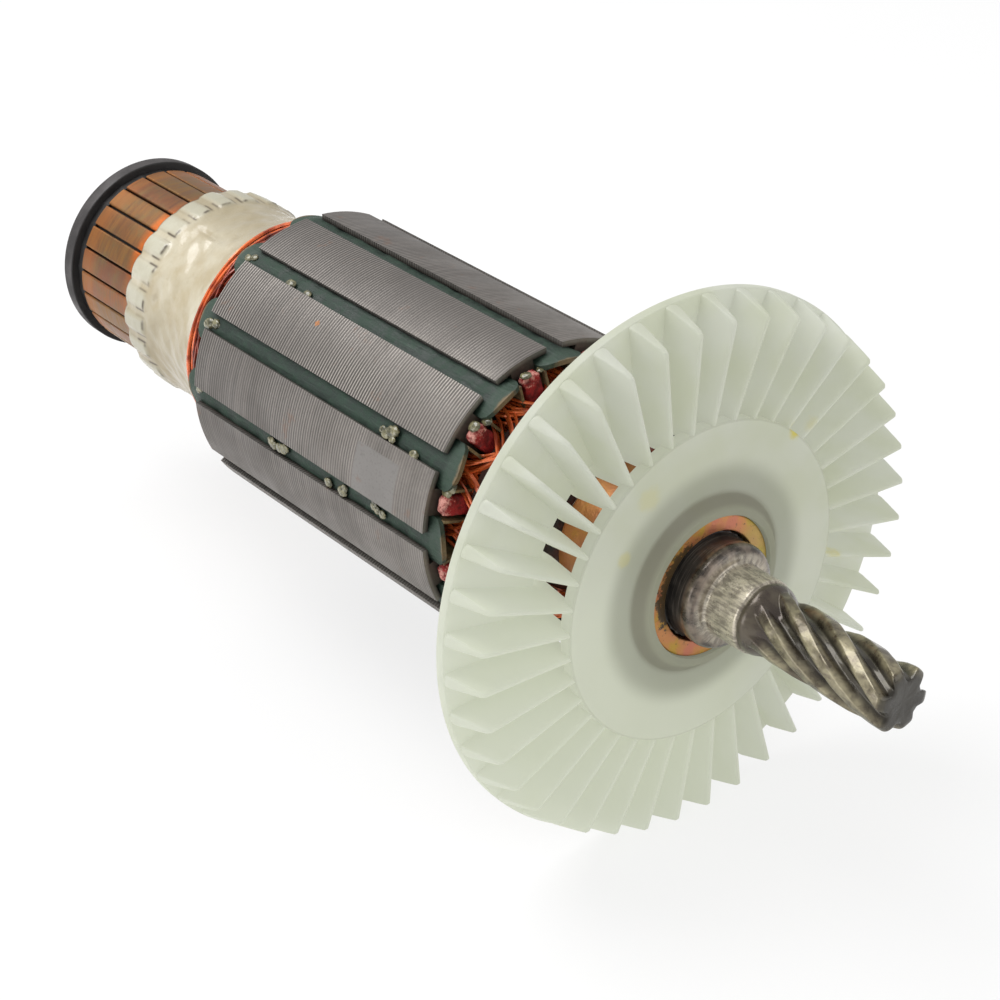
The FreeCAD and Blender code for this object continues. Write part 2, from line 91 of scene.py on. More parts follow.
# Wedges, fibre stars and wire
WEDGE_TOP = LIP_UNDERSIDE - 0.07
WEDGE_THICKNESS = 0.55
WEDGE_OVERHANG = 2.4
WEDGE_END_CURVE = 1.7
STAR_THICKNESS = 1.6
STAR_ARM_WIDTH = 2.2
STAR_ROOT_RADIUS = 8.7
STAR_TIP_RADIUS = 16.4
STAR_TIP_ROUND = 0.8
STAR_HUB_WIDTH = 1.4
STAR_BORE = 6.1
WIRE_RADIUS = 0.18
LAST_TURNS = 2
LAST_TURN_RADIUS = 0.24
COIL_SPAN = 5 * SLOT_PITCH
FRONT_STRANDS = 12
REAR_STRANDS = 10
STRAND_STEPS = 30
# Painted shade inside the front coil end, a dark solid: distance off the core and radius
FRONT_HEAD_PROFILE = ((1.7, 6.1), (1.7, 13.0), (3.5, 11.6), (5.5, 9.4), (7.6, 7.6), (8.8, 6.1))

# Resin over the leads
CEMENT_REAR = -95.8
CEMENT_FRONT = -78.4
CEMENT_PROFILE_X = (-96.0, -95.2, -92.5, -90.5, -88.3, -85.0, -81.0, -78.4)
CEMENT_PROFILE_RADIUS = (12.3, 12.65, 12.8, 12.75, 12.55, 12.6, 13.2, 14.0)

# Swellings and dents of the resin: place, angle, half length, half angle and height
RESIN_SPOTS = (
    (-86.5, 143.0, 3.0, 7.0, 0.3),
    (-89.5, 150.0, 1.6, 5.0, 0.2),
    (-85.8, 114.0, 2.2, 1.8, -0.35),
    (-82.3, 107.0, 0.7, 6.0, -0.3),
    (-88.8, 162.0, 0.6, 4.0, -0.3),
    (-84.0, 125.0, 3.0, 6.0, -0.2),
    (-84.0, 185.0, 2.5, 9.0, 0.25),
    (-85.0, 60.0, 2.5, 8.0, 0.25),
    (-83.5, 260.0, 3.0, 10.0, 0.25),
    (-86.5, 320.0, 2.0, 5.0, -0.25),
)
# Rows of hard resin drops: place, angle, length of the row and distance from the axis
RESIN_CRUMBS = (
    (-37.4, 150.3, 2.4, 17.3),
    (-32.3, 151.5, 1.0, 17.2),
    (-54.8, 180.2, 3.4, 17.2),
    (-45.8, 181.2, 0.8, 17.2),
    (-42.6, 180.7, 1.0, 17.2),
    (-36.4, 178.9, 2.2, 17.2),
    (-60.0, 122.5, 0.5, 17.2),
    (-63.4, 122.3, 0.3, 17.2),
    (-72.4, 121.0, 1.4, 16.9),
    (-71.6, 151.0, 1.6, 16.9),
    (-71.6, 179.0, 1.2, 16.9),
    (-27.3, 128.4, 0.9, 15.9),
    (-27.3, 158.6, 0.9, 15.9),
    (-27.4, 98.6, 0.7, 16.0),
    (-27.3, 188.6, 0.8, 15.9),
    (-27.2, 106.5, 0.3, 16.5),
    (-27.3, 134.0, 0.2, 16.6),
    (-50.0, 32.0, 1.4, 17.2),
    (-39.0, 268.0, 2.0, 17.2),
    (-61.0, 300.5, 1.6, 17.2),
)

# Commutator
BAR_COUNT = 24
BAR_PITCH = 360.0 / BAR_COUNT
BAR_RADIUS = 11.6
BAR_GAP = 0.3
BAR_DEPTH = 1.2
BAR_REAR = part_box("commutator_bar_01")[0].x / MM
BAR_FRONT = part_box("commutator_bar_01")[1].x / MM

# Fan
BLADE_COUNT = 40
BLADE_PITCH = 360.0 / BLADE_COUNT
BLADE_FRONT_THICKNESS = 0.5
BLADE_BACK_THICKNESS = 1.7
BLADE_ROOT_RADIUS = 16.9
BLADE_CORNER_RADIUS = 28.45
BLADE_LEAN = 9.7
BLADE_FRONT_RISE = 0.25
BLADE_CORNER_SOFTNESS = 0.25
BLADE_HUB_ANGLE = 124.9
FAN_RADIUS = 29.8
FAN_TRANSLUCENCY = 0.55
FAN_FACE = -4.3
FAN_BACK = -9.8
FAN_RING_THICKNESS = 1.1
FAN_RING_INNER_RADIUS = 19.2
FAN_DISC_RADIUS = 17.65
FAN_DISC_THICKNESS = 1.5
FAN_COLLAR_RADIUS = 9.3
FAN_COLLAR_FLARE = 0.5
FAN_COLLAR_TOP_RADIUS = 8.65
FAN_COLLAR_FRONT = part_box("fan")[1].x / MM
FAN_HUB_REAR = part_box("fan")[0].x / MM
# Greasy spots on the fan: radius, angle, size and strength
GREASE_SPOTS = (
    (18.0, 48.6, 1.4, 1.0),
    (19.3, 352.3, 1.9, 0.6),
    (12.7, 148.5, 1.1, 0.35),
    (14.5, 122.5, 1.8, 0.25),
    (19.6, 46.0, 1.6, 0.35),
)

# Bush that carries the fan
BUSH_RADIUS = 7.8
BUSH_BORE = 6.05
BUSH_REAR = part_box("fan_bush")[0].x / MM
BUSH_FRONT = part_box("fan_bush")[1].x / MM

# Shaft and pinion
SHAFT_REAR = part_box("shaft")[0].x / MM
PINION_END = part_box("shaft")[1].x / MM
END_RING_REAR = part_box("end_ring")[0].x / MM
END_RING_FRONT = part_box("end_ring")[1].x / MM
END_RING_RADIUS = 12.3
END_RING_BORE = 4.55
CORE_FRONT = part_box("commutator_core")[1].x / MM
SLEEVE_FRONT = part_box("insulating_sleeve")[1].x / MM
REAR_JOURNAL_RADIUS = 3.5
COMMUTATOR_SEAT_RADIUS = 4.5
SLEEVE_BORE_RADIUS = 5.0
FAN_SEAT_RADIUS = 5.6
KNURL_RADIUS = 6.0
KNURL_DEPTH = 0.22
KNURL_RIDGES = 30
KNURL_REAR = -16.4
KNURL_FRONT = -4.0
# Collar in front of the bush: place and radius
COLLAR_PROFILE = ((-2.6, 5.55), (-1.1, 5.75), (-0.4, 5.5), (-0.05, 4.8))
JOURNAL_RADIUS = 4.0
JOURNAL_END = 4.4
PINION_TEETH = 6
PINION_LEAD = 40.0
PINION_TIP_RADIUS = 3.5
PINION_ROOT_RADIUS = 2.35
RUNOUT_RADIUS = 3.85
PINION_END_ROUND = 0.66
PINION_CORE_RADIUS = 1.9
GREASE_HEIGHT = 0.025


def polar(x, radius, angle):
    """Points from arrays of places along the axis, radii and angles in degrees."""
    turn = np.radians(angle)
    x, radius, turn = np.broadcast_arrays(x, radius, turn)
    return np.stack([x, radius * np.cos(turn), radius * np.sin(turn)], axis=-1)


def smooth_step(value, low, high):
    """0 below low, 1 above high and a smooth S between: 3t^2 - 2t^3."""
    t = np.clip((value - low) / (high - low), 0.0, 1.0)
    return t * t * (3.0 - 2.0 * t)


def grid(points, closed_rows=False, closed_columns=False):
    """A sheet of quads between neighbouring points of a (rows, columns, 3) array."""
    rows, columns = points.shape[:2]
    index = np.arange(rows * columns).reshape(rows, columns)
    if closed_rows:
        index = np.vstack([index, index[:1]])
    if closed_columns:
        index = np.hstack([index, index[:, :1]])
    corners = (index[:-1, :-1], index[1:, :-1], index[1:, 1:], index[:-1, 1:])
    return points.reshape(-1, 3), np.stack(corners, axis=-1).reshape(-1, 4)


def joined(parts):
    """Several (points, quads) meshes as one."""
    points = np.concatenate([part[0] for part in parts])
    starts = np.cumsum([0] + [len(part[0]) for part in parts[:-1]])
    quads = np.concatenate([part[1] + start for part, start in zip(parts, starts)])
    return points, quads


def add_piece(name, mesh_data, finish, stands_for=(), attributes=None):
    """A finished piece at the origin, riding on the part's one body.

    Points that meet are welded, which also closes seams and poles, and all faces are turned outwards.
    """
    points, quads = mesh_data
    mesh = bpy.data.meshes.new(name)
    mesh.from_pydata((points * MM).tolist(), [], quads.tolist())
    for key, values in (attributes or {}).items():
        layer = mesh.attributes.new(key, "FLOAT", "POINT")
        layer.data.foreach_set("value", np.ascontiguousarray(values, np.float32).ravel())
    weld = bmesh.new()
    weld.from_mesh(mesh)
    bmesh.ops.remove_doubles(weld, verts=weld.verts, dist=0.001 * MM)
    bmesh.ops.recalc_face_normals(weld, faces=weld.faces)
    weld.to_mesh(mesh)
    weld.free()
    mesh.polygons.foreach_set("use_smooth", np.full(len(mesh.polygons), True))
    mesh.set_sharp_from_angle(angle=math.radians(SHARP_ANGLE))
    mesh.materials.append(FINISHES[finish])
    mesh.update()
    piece = bpy.data.objects.new(name, mesh)
    bpy.context.scene.collection.objects.link(piece)
    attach(piece, "root")
    if stands_for:
        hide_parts(*stands_for)


def turned(profile, columns=144):
    """A closed ring turned about X from a closed loop of (x, radius) points."""
    x, radius = np.array(profile, float).T
    angle = np.arange(columns) * 360.0 / columns
    return grid(polar(x[:, None], radius[:, None], angle[None, :]), True, True)


def rounded(profile, fillet, steps=4, closed=True):
    """A loop, or an open line, of (x, radius) points with each corner replaced by a short curve.

    The curve is a parabola from a point on one side of the corner to a point on the other,
    both a fillet away, or a little under half the side if that is shorter.
    """
    points = np.array(profile, float)
    before = np.roll(points, 1, axis=0) - points
    after = np.roll(points, -1, axis=0) - points
    long_before = np.linalg.norm(before, axis=1, keepdims=True)
    long_after = np.linalg.norm(after, axis=1, keepdims=True)
    start = points + before / long_before * np.minimum(fillet, 0.45 * long_before)
    end = points + after / long_after * np.minimum(fillet, 0.45 * long_after)
    t = np.linspace(0.0, 1.0, steps + 1)[None, :, None]
    curve = (1 - t) ** 2 * start[:, None] + 2 * t * (1 - t) * points[:, None] + t ** 2 * end[:, None]
    if closed:
        return curve.reshape(-1, 2)
    return np.concatenate([points[:1], curve[1:-1].reshape(-1, 2), points[-1:]])


class Socket:
    """An output socket of a material that does sums by adding Math nodes."""

    def __init__(self, paint, socket):
        self.paint = paint
        self.socket = socket

    def math(self, operation, *values):
        return self.paint.node("ShaderNodeMath", {"operation": operation}, dict(enumerate(values)))

    def __add__(self, other):
        return self.math("ADD", self, other)

    def __sub__(self, other):
        return self.math("SUBTRACT", self, other)

    def __rsub__(self, other):
        return self.math("SUBTRACT", other, self)

    def __mul__(self, other):
        return self.math("MULTIPLY", self, other)

    def __truediv__(self, other):
        return self.math("DIVIDE", self, other)

    def __mod__(self, other):
        return self.math("FLOORED_MODULO", self, other)

    def __pow__(self, other):
        return self.math("POWER", self, other)

    def __abs__(self):
        return self.math("ABSOLUTE", self)

    __radd__ = __add__
    __rmul__ = __mul__


class Paint:
    """A material's node tree, and the patterns that the finishes share."""

    def __init__(self, name):
        self.material = bpy.data.materials.new(name)
        self.material.use_nodes = True
        self.tree = self.material.node_tree
        self.tree.nodes.clear()

    def node(self, kind, settings=None, inputs=None, output=0):
        """A node of a kind: its settings are set first, then the values or links of its sockets."""
        node = self.tree.nodes.new(kind)
        for key, value in (settings or {}).items():
            setattr(node, key, value)
        for key, value in (inputs or {}).items():
            if isinstance(value, Socket):
                self.tree.links.new(value.socket, node.inputs[key])
            else:
                node.inputs[key].default_value = value
        return Socket(self, node.outputs[output]) if len(node.outputs) else None

    def place(self):
        """Object coordinates in millimetres."""
        point = self.node("ShaderNodeTexCoord", output="Object")
        return self.node("ShaderNodeVectorMath", {"operation": "SCALE"}, {0: point, "Scale": 1.0 / MM})

    def parts(self, vector):
        """The three values of a vector."""
        separate = self.node("ShaderNodeSeparateXYZ", inputs={0: vector}).socket.node
        return [Socket(self, output) for output in separate.outputs]

    def vector(self, x, y, z):
        return self.node("ShaderNodeCombineXYZ", inputs={0: x, 1: y, 2: z})

    def around(self):
        """Place along the axis, radius and angle in degrees from 0 to 360."""
        x, y, z = self.parts(self.place())
        radius = (y * y + z * z) ** 0.5
        angle = z.math("ARCTAN2", z, y) * (180.0 / math.pi) % 360.0
        return x, radius, angle

    def unrolled(self, radius):
        """Vector of the place along the axis and the way round it at a radius, both in millimetres."""
        x, depth, angle = self.around()
        return self.vector(x, angle * (radius * math.pi / 180.0), depth)

    def noise(self, size, detail=2.0, vector=None, roughness=0.5, stretch=None):
        """Cloudy pattern from 0 to 1 with lumps about a size in millimetres across."""
        vector = vector or self.place()
        if stretch:
            vector = self.node("ShaderNodeVectorMath", {"operation": "MULTIPLY"}, {0: vector, 1: stretch})
        return self.node("ShaderNodeTexNoise", None, {
            "Vector": vector, "Scale": 1.0 / size, "Detail": detail, "Roughness": roughness,
        })

    def step(self, value, low, high, bottom=0.0, top=1.0):
        """Smooth change from bottom to top while a value goes from low to high."""
        return self.node("ShaderNodeMapRange", {"interpolation_type": "SMOOTHSTEP"}, {
            "Value": value, "From Min": low, "From Max": high, "To Min": bottom, "To Max": top,
        })

    def mix(self, factor, first, second):
        """Colour between two others."""
        return self.node("ShaderNodeMix", {"data_type": "RGBA", "clamp_factor": True}, {
            0: factor, 6: first, 7: second,
        }, 2)

    def bump(self, height, depth, strength=1.0, normal=None):
        """Normal from a height from 0 to 1 that is worth a depth in millimetres."""
        inputs = {"Height": height, "Distance": depth * MM, "Strength": strength}
        if normal:
            inputs["Normal"] = normal
        return self.node("ShaderNodeBump", None, inputs)

    def attribute(self, name):
        return self.node("ShaderNodeAttribute", {"attribute_name": name}, output="Fac")

    def finish(self, through=0.0, through_colour=None, **inputs):
        """The material: a Principled shader of these inputs, and a share of light let through evenly."""
        named = {key.replace("_", " ").title(): value for key, value in inputs.items()}
        surface = self.node("ShaderNodeBsdfPrincipled", None, named)
        if through:
            glow = self.node("ShaderNodeBsdfTranslucent", None, {"Color": through_colour})
            surface = self.node("ShaderNodeMixShader", None, {0: through, 1: surface, 2: glow})
        self.node("ShaderNodeOutputMaterial", None, {"Surface": surface})
        return self.material


def colour(red, green, blue):
    """Linear colour from one written in 0 to 255 as a picture shows it."""
    encoded = np.array([red, green, blue]) / 255.0
    linear = np.where(encoded <= 0.04045, encoded / 12.92, ((encoded + 0.055) / 1.055) ** 2.4)
    return tuple(float(value) for value in linear) + (1.0,)


def lamination_finish():
    """Stamped steel edges: one fine line for each sheet, rubbed bright in places and more so near one tooth
    as a painted highlight, painted shade on another tooth and under the tooth tips, and a balance cut.
    """
    paint = Paint("lamination_steel")
    x, radius, angle = paint.around()
    wander = paint.noise(9.0, 2.0) * 0.12
    line = abs((x / LAMINATION_PITCH + wander) % 1.0 - 0.5) * 2.0
    sheet = paint.noise(1.0, 0.0, paint.vector(x * (1.0 / LAMINATION_PITCH), angle * 0.02, 0.0))
    cloud = paint.noise(6.0, 4.0, roughness=0.6)
    patch = paint.noise(11.0, 1.0)
    grain = paint.noise(0.3, 3.0)
    # Rubbed bright lines, painted brighter near one tooth as a highlight; another tooth is painted darker
    # as shade.
    highlight_sector = paint.step(abs(angle - HIGHLIGHT_TOOTH_ANGLE), 12.0, 20.0, 1.0, 0.45)
    painted_shade_tooth = paint.step(abs(angle - SHADED_TOOTH_ANGLE), 9.0, 13.0, 0.4, 0.0)
    cut_length = paint.step(abs(x - BALANCE_CUT_PLACE), 3.5, 3.8, 1.0, 0.0)
    cut_width = paint.step(abs(angle - BALANCE_CUT_ANGLE), 8.5, 9.2, 1.0, 0.0)
    balanced = cut_length * cut_width
    rubbed_and_highlit = paint.step(patch, 0.42, 0.62, 0.55, 1.0) * highlight_sector * (1.0 - balanced)
    to_front = paint.step(x, STACK_REAR + 8.0, STACK_FRONT)
    base = paint.mix(to_front, colour(90, 86, 83), colour(114, 109, 104))
    base = paint.mix(paint.step(cloud, 0.35, 0.7, 0.0, 0.6), base, colour(82, 78, 74))
    base = paint.mix(paint.step(sheet, 0.4, 0.7, 0.0, 0.3), base, colour(128, 121, 116))
    base = paint.mix(painted_shade_tooth, base, colour(70, 66, 64))
    light_line = (1.0 - paint.step(line, 0.15, 0.6)) * rubbed_and_highlit
    dark_line = paint.step(line, 0.5, 0.95) * paint.step(rubbed_and_highlit, 0.05, 1.0, 0.0, 0.9)
    base = paint.mix(light_line * 0.75, base, colour(182, 175, 168))
    base = paint.mix(dark_line, base, colour(64, 60, 57))
    base = paint.mix(balanced, base, colour(124, 121, 118))
    base = paint.mix(paint.step(grain, 0.5, 0.75, 0.0, 0.3), base, colour(84, 78, 74))
    from_speck = abs(x - SPECK_PLACE) + abs(angle - SPECK_ANGLE) * 0.3
    speck = paint.step(from_speck, 0.35, 0.5, 1.0, 0.0)
    base = paint.mix(speck, base, colour(158, 108, 72))
    rust = paint.noise(3.2, 4.0, roughness=0.7)
    base = paint.mix(paint.step(rust, 0.62, 0.72, 0.0, 0.4), base, colour(122, 92, 74))
    # Tooth flanks below the tip surface are painted darker brown: painted shade under the lips.
    inside = paint.step(radius, LIP_UNDERSIDE, STACK_RADIUS - 0.2, 0.75, 0.0)
    base = paint.mix(inside, base, colour(52, 44, 36))
    return paint.finish(
        base_color=base,
        metallic=0.5,
        roughness=paint.step(cloud, 0.3, 0.7, 0.42, 0.58),
        normal=paint.bump(light_line + grain * 0.3, 0.05),
    )


def fibre_finish(name, light, dark):
    """Pressed fibre: matt, mottled and slightly hairy."""
    paint = Paint(name)
    cloud = paint.noise(1.6, 4.0, roughness=0.65)
    grain = paint.noise(0.25, 2.0)
    base = paint.mix(paint.step(cloud, 0.35, 0.68), dark, light)
    return paint.finish(
        base_color=base,
        roughness=paint.step(cloud, 0.3, 0.7, 0.45, 0.7),
        normal=paint.bump(grain * 0.5 + cloud, 0.12),
    )


def wedge_finish():
    """Green fibre under thin varnish: mottled, dusty, with a painted shadow along one lip, and brown at its
    ends.
    """
    paint = Paint("wedge_fibre")
    x, radius, angle = paint.around()
    cloud = paint.noise(1.4, 5.0, roughness=0.7)
    streak = paint.noise(1.0, 3.0, paint.unrolled(WEDGE_TOP), stretch=(0.25, 2.0, 1.0))
    base = paint.mix(paint.step(cloud, 0.35, 0.68), colour(20, 37, 29), colour(36, 58, 45))
    base = paint.mix(paint.step(streak, 0.55, 0.75, 0.0, 0.5), base, colour(52, 74, 60))
    # A painted shadow darkens the strip along one lip of each slot.
    aside = (angle / SLOT_PITCH + 0.5) % 1.0 - 0.5
    painted_lip_shadow = paint.step(aside, -0.125, -0.085, 0.9, 0.0)
    lip_shadow_mask = painted_lip_shadow * paint.step(radius, WEDGE_TOP - 0.3, WEDGE_TOP - 0.1)
    end = abs(x - STACK_MIDDLE) - STACK_HALF
    base = paint.mix(paint.step(end, 0.0, 0.8, 0.0, 0.55), base, colour(54, 72, 60))
    base = paint.mix(lip_shadow_mask * paint.step(end, -0.3, 0.3, 1.0, 0.0), base, colour(12, 16, 14))
    lip = paint.step(end + cloud, WEDGE_OVERHANG + 0.05, WEDGE_OVERHANG + 0.45)
    base = paint.mix(lip, base, colour(112, 96, 70))
    return paint.finish(
        base_color=base,
        roughness=paint.step(cloud, 0.3, 0.7, 0.5, 0.75),
        normal=paint.bump(cloud + streak, 0.14),
    )


def star_finish():
    """Red fibre: deep red with pinkish white fluff towards the tips."""
    paint = Paint("end_fibre")
    _, radius, _ = paint.around()
    cloud = paint.noise(0.9, 4.0, roughness=0.7)
    base = paint.mix(paint.step(cloud, 0.35, 0.65), colour(96, 12, 16), colour(158, 30, 32))
    fluff = paint.step(paint.noise(0.5, 4.0, roughness=0.7) + (radius - 15.0) * 0.16, 0.56, 0.8)
    base = paint.mix(fluff, base, colour(214, 150, 138))
    return paint.finish(
        base_color=base,
        roughness=paint.step(cloud, 0.3, 0.7, 0.5, 0.8),
        normal=paint.bump(cloud, 0.25),
    )


def copper_wire_finish(name, light, dark):
    """Enamelled wire: clear orange-brown varnish over copper."""
    paint = Paint(name)
    cloud = paint.noise(2.0, 3.0)
    base = paint.mix(paint.step(cloud, 0.38, 0.66), light, dark)
    return paint.finish(
        base_color=base,
        metallic=0.4,
        roughness=paint.step(cloud, 0.3, 0.7, 0.22, 0.4),
        coat_weight=0.5,
        coat_roughness=0.1,
    )


def bar_finish():
    """Worn copper: each bar has a tone of its own, brush tracks go round, hooks leave a heat tint painted
    stronger in one lit sector, the rear end has a painted orange highlight and the sides painted shade.
    """
    paint = Paint("bar_copper")
    x, radius, angle = paint.around()
    bar = paint.node("ShaderNodeMath", {"operation": "FLOOR"}, {0: angle / BAR_PITCH + 0.5})
    own = paint.node("ShaderNodeTexWhiteNoise", {"noise_dimensions": "1D"}, {"W": bar}, 0)
    other = paint.node("ShaderNodeTexWhiteNoise", {"noise_dimensions": "1D"}, {"W": bar + 51.0}, 0)
    track = paint.noise(1.0, 4.0, paint.unrolled(BAR_RADIUS), 0.6, (3.0, 0.25, 0.2))
    patch = paint.noise(2.4, 4.0, roughness=0.65)
    base = paint.mix(own, colour(142, 88, 50), colour(132, 98, 50))
    base = paint.mix(paint.step(other, 0.5, 1.0, 0.0, 0.7), base, colour(118, 72, 50))
    base = paint.mix(paint.step(patch, 0.42, 0.66, 0.0, 0.7), base, colour(116, 98, 62))
    base = paint.mix(paint.step(track, 0.35, 0.65, 0.5, 0.0), base, colour(102, 66, 50))
    near_hook = paint.step(x + patch * 3.0, BAR_FRONT - 5.8, BAR_FRONT - 3.9)
    # The heat tint is painted stronger in one sector, where the light falls: heat tint with painted light.
    tint_and_lit_sector = paint.step(abs(angle - 133.0), 14.0, 32.0, 1.0, 0.25)
    base = paint.mix(near_hook * tint_and_lit_sector * 0.9, base, colour(204, 104, 32))
    at_hook = paint.step(x + patch * 1.5, BAR_FRONT - 4.1, BAR_FRONT - 3.5)
    base = paint.mix(at_hook * tint_and_lit_sector * 0.8, base, colour(116, 48, 30))
    # Orange along the rear end of the bars is a painted highlight.
    rear = paint.step(x - patch * 2.5, BAR_REAR + 2.2, BAR_REAR + 0.2)
    base = paint.mix(rear * 0.3, base, colour(186, 108, 44))
    # Bar sides below the top are painted dark: painted shade in the gaps.
    side = paint.step(radius, BAR_RADIUS - 0.3, BAR_RADIUS - 0.06, 0.9, 0.0)
    base = paint.mix(side, base, colour(58, 34, 24))
    return paint.finish(
        base_color=base,
        metallic=0.55,
        roughness=paint.step(track, 0.3, 0.7, 0.34, 0.5),
        normal=paint.bump(track, 0.02),
    )


def black_finish():
    """Moulded phenolic, with a soft sheen and fine grain."""
    paint = Paint("black_moulding")
    grain = paint.noise(0.3, 3.0)
    cloud = paint.noise(4.0, 2.0)
    base = paint.mix(paint.step(cloud, 0.4, 0.7), colour(22, 21, 21), colour(32, 30, 30))
    return paint.finish(
        base_color=base,
        roughness=paint.step(cloud, 0.3, 0.7, 0.45, 0.65),
        normal=paint.bump(grain, 0.04),
    )


def ring_finish():
    """Black ring: a grey rim as a painted sheen, and a face painted near black as painted shade."""
    paint = Paint("black_ring")
    x, _, _ = paint.around()
    grain = paint.noise(0.4, 3.0)
    cloud = paint.noise(3.0, 3.0)
    # The grey rim is a painted sheen and the near-black face is painted shade.
    rim = paint.mix(paint.step(cloud, 0.35, 0.7), colour(64, 60, 60), colour(46, 43, 43))
    face = paint.mix(paint.step(cloud, 0.35, 0.7), colour(20, 18, 18), colour(30, 27, 26))
    at_face = paint.step(x, END_RING_FRONT - 0.22, END_RING_FRONT - 0.06)
    base = paint.mix(at_face, rim, face)
    return paint.finish(
        base_color=base,
        roughness=paint.step(cloud, 0.3, 0.7, 0.5, 0.7),
        normal=paint.bump(grain, 0.05),
    )


def cement_finish():
    """Cured resin: ivory and glossy, lighter in one sector as a painted sheen, paler on the tabs, with thin
    dark lines of old flux and painted shadow round them.
    """
    paint = Paint("cream_cement")
    _, _, angle = paint.around()
    cloud = paint.noise(3.5, 3.0)
    blotch = paint.noise(1.3, 3.0, roughness=0.6)
    base = paint.mix(paint.step(cloud, 0.35, 0.7), colour(190, 182, 160), colour(172, 159, 130))
    base = paint.mix(paint.step(blotch, 0.55, 0.75, 0.0, 0.4), base, colour(158, 144, 114))
    # Lighter around 138 degrees as a painted sheen, and painted darker away from it.
    away = paint.step(abs(angle - 138.0), 12.0, 42.0, 0.0, 0.7)
    base = paint.mix(away, base, colour(148, 136, 108))
    base = paint.mix(paint.attribute("tab") * 0.45, base, colour(180, 182, 168))
    # Dark lines round the tabs: old flux with painted shadow.
    flux_and_shadow = paint.attribute("flux_and_shadow") * paint.step(blotch, 0.3, 0.5, 0.55, 1.0)
    base = paint.mix(flux_and_shadow * 0.9, base, colour(62, 48, 30))
    return paint.finish(
        base_color=base,
        roughness=paint.step(cloud, 0.3, 0.7, 0.28, 0.44),
        coat_weight=0.3,
        coat_roughness=0.06,
        normal=paint.bump(paint.noise(0.9, 3.0), 0.08),
    )


def clear_resin_finish():
    """Hard drops of yellowish, half clear resin."""
    paint = Paint("clear_resin")
    cloud = paint.noise(0.7, 3.0, roughness=0.65)
    base = paint.mix(paint.step(cloud, 0.35, 0.65), colour(62, 61, 40), colour(124, 119, 88))
    return paint.finish(
        base_color=base,
        roughness=paint.step(cloud, 0.3, 0.7, 0.12, 0.3),
        coat_weight=0.6,
        coat_roughness=0.05,
        normal=paint.bump(cloud, 0.1),
    )


def fan_finish():
    """Unfilled nylon: milky and faintly green, with a painted glow from emission that is brighter on the
    lit side and fades towards the hub, darker over the bush, with greasy spots.
    """
    paint = Paint("fan_nylon")
    x, radius, angle = paint.around()
    cloud = paint.noise(7.0, 3.0)
    base = paint.mix(paint.step(radius, 13.0, 28.0), colour(181, 183, 167), colour(183, 184, 176))
    base = paint.mix(paint.step(cloud, 0.35, 0.7, 0.0, 0.5), base, colour(175, 178, 158))
    over_bush = paint.step(radius, FAN_COLLAR_RADIUS + 0.25, FAN_COLLAR_RADIUS + 1.1, 0.9, 0.0)
    collar_end = paint.step(x, FAN_COLLAR_FRONT - 0.5, FAN_COLLAR_FRONT - 0.1)
    thin = paint.mix(collar_end, colour(110, 102, 78), colour(142, 140, 114))
    base = paint.mix(over_bush, base, thin)
    at_front = paint.step(x, FAN_FACE - 0.4, FAN_FACE - 0.15)
    seam = paint.step(abs(radius - FAN_DISC_RADIUS + 0.1), 0.03, 0.16, 0.55, 0.0) * at_front
    base = paint.mix(seam, base, colour(112, 112, 88))
    # Emission paints a glow that stands in for light let through the nylon: painted light, brighter on the
    # lit side, with painted shade towards the hub.
    shade = paint.step(radius, 16.8, 18.6, 0.08, 0.0) + paint.step(radius, 11.5, 14.0, 0.6, 0.0)
    glow = paint.mix(paint.step(cloud, 0.35, 0.7), colour(206, 208, 200), colour(198, 201, 184))
    lit_side = paint.step(abs(angle - 224.0), 38.0, 92.0, 1.0, 0.0)
    glow = paint.mix(lit_side, glow, colour(226, 230, 216))
    glow = paint.mix(shade, glow, colour(0, 0, 0))
    dirt = paint.noise(1.2, 4.0, roughness=0.7)
    for distance, turn, size, strength in GREASE_SPOTS:
        spot = tuple(polar(FAN_FACE, distance, turn))
        away = paint.node("ShaderNodeVectorMath", {"operation": "DISTANCE"}, {0: paint.place(), 1: spot}, 1)
        mark = paint.step(away - dirt * size, -0.1 * size, 0.45 * size, strength, 0.0)
        base = paint.mix(mark, base, colour(206, 188, 62))
        glow = paint.mix(mark, glow, colour(176, 164, 70))
    return paint.finish(
        through=FAN_TRANSLUCENCY,
        through_colour=colour(181, 184, 170),
        base_color=base,
        roughness=paint.step(cloud, 0.3, 0.7, 0.36, 0.5),
        emission_color=glow,
        emission_strength=0.8,
        normal=paint.bump(paint.noise(1.5, 2.0), 0.02),
    )


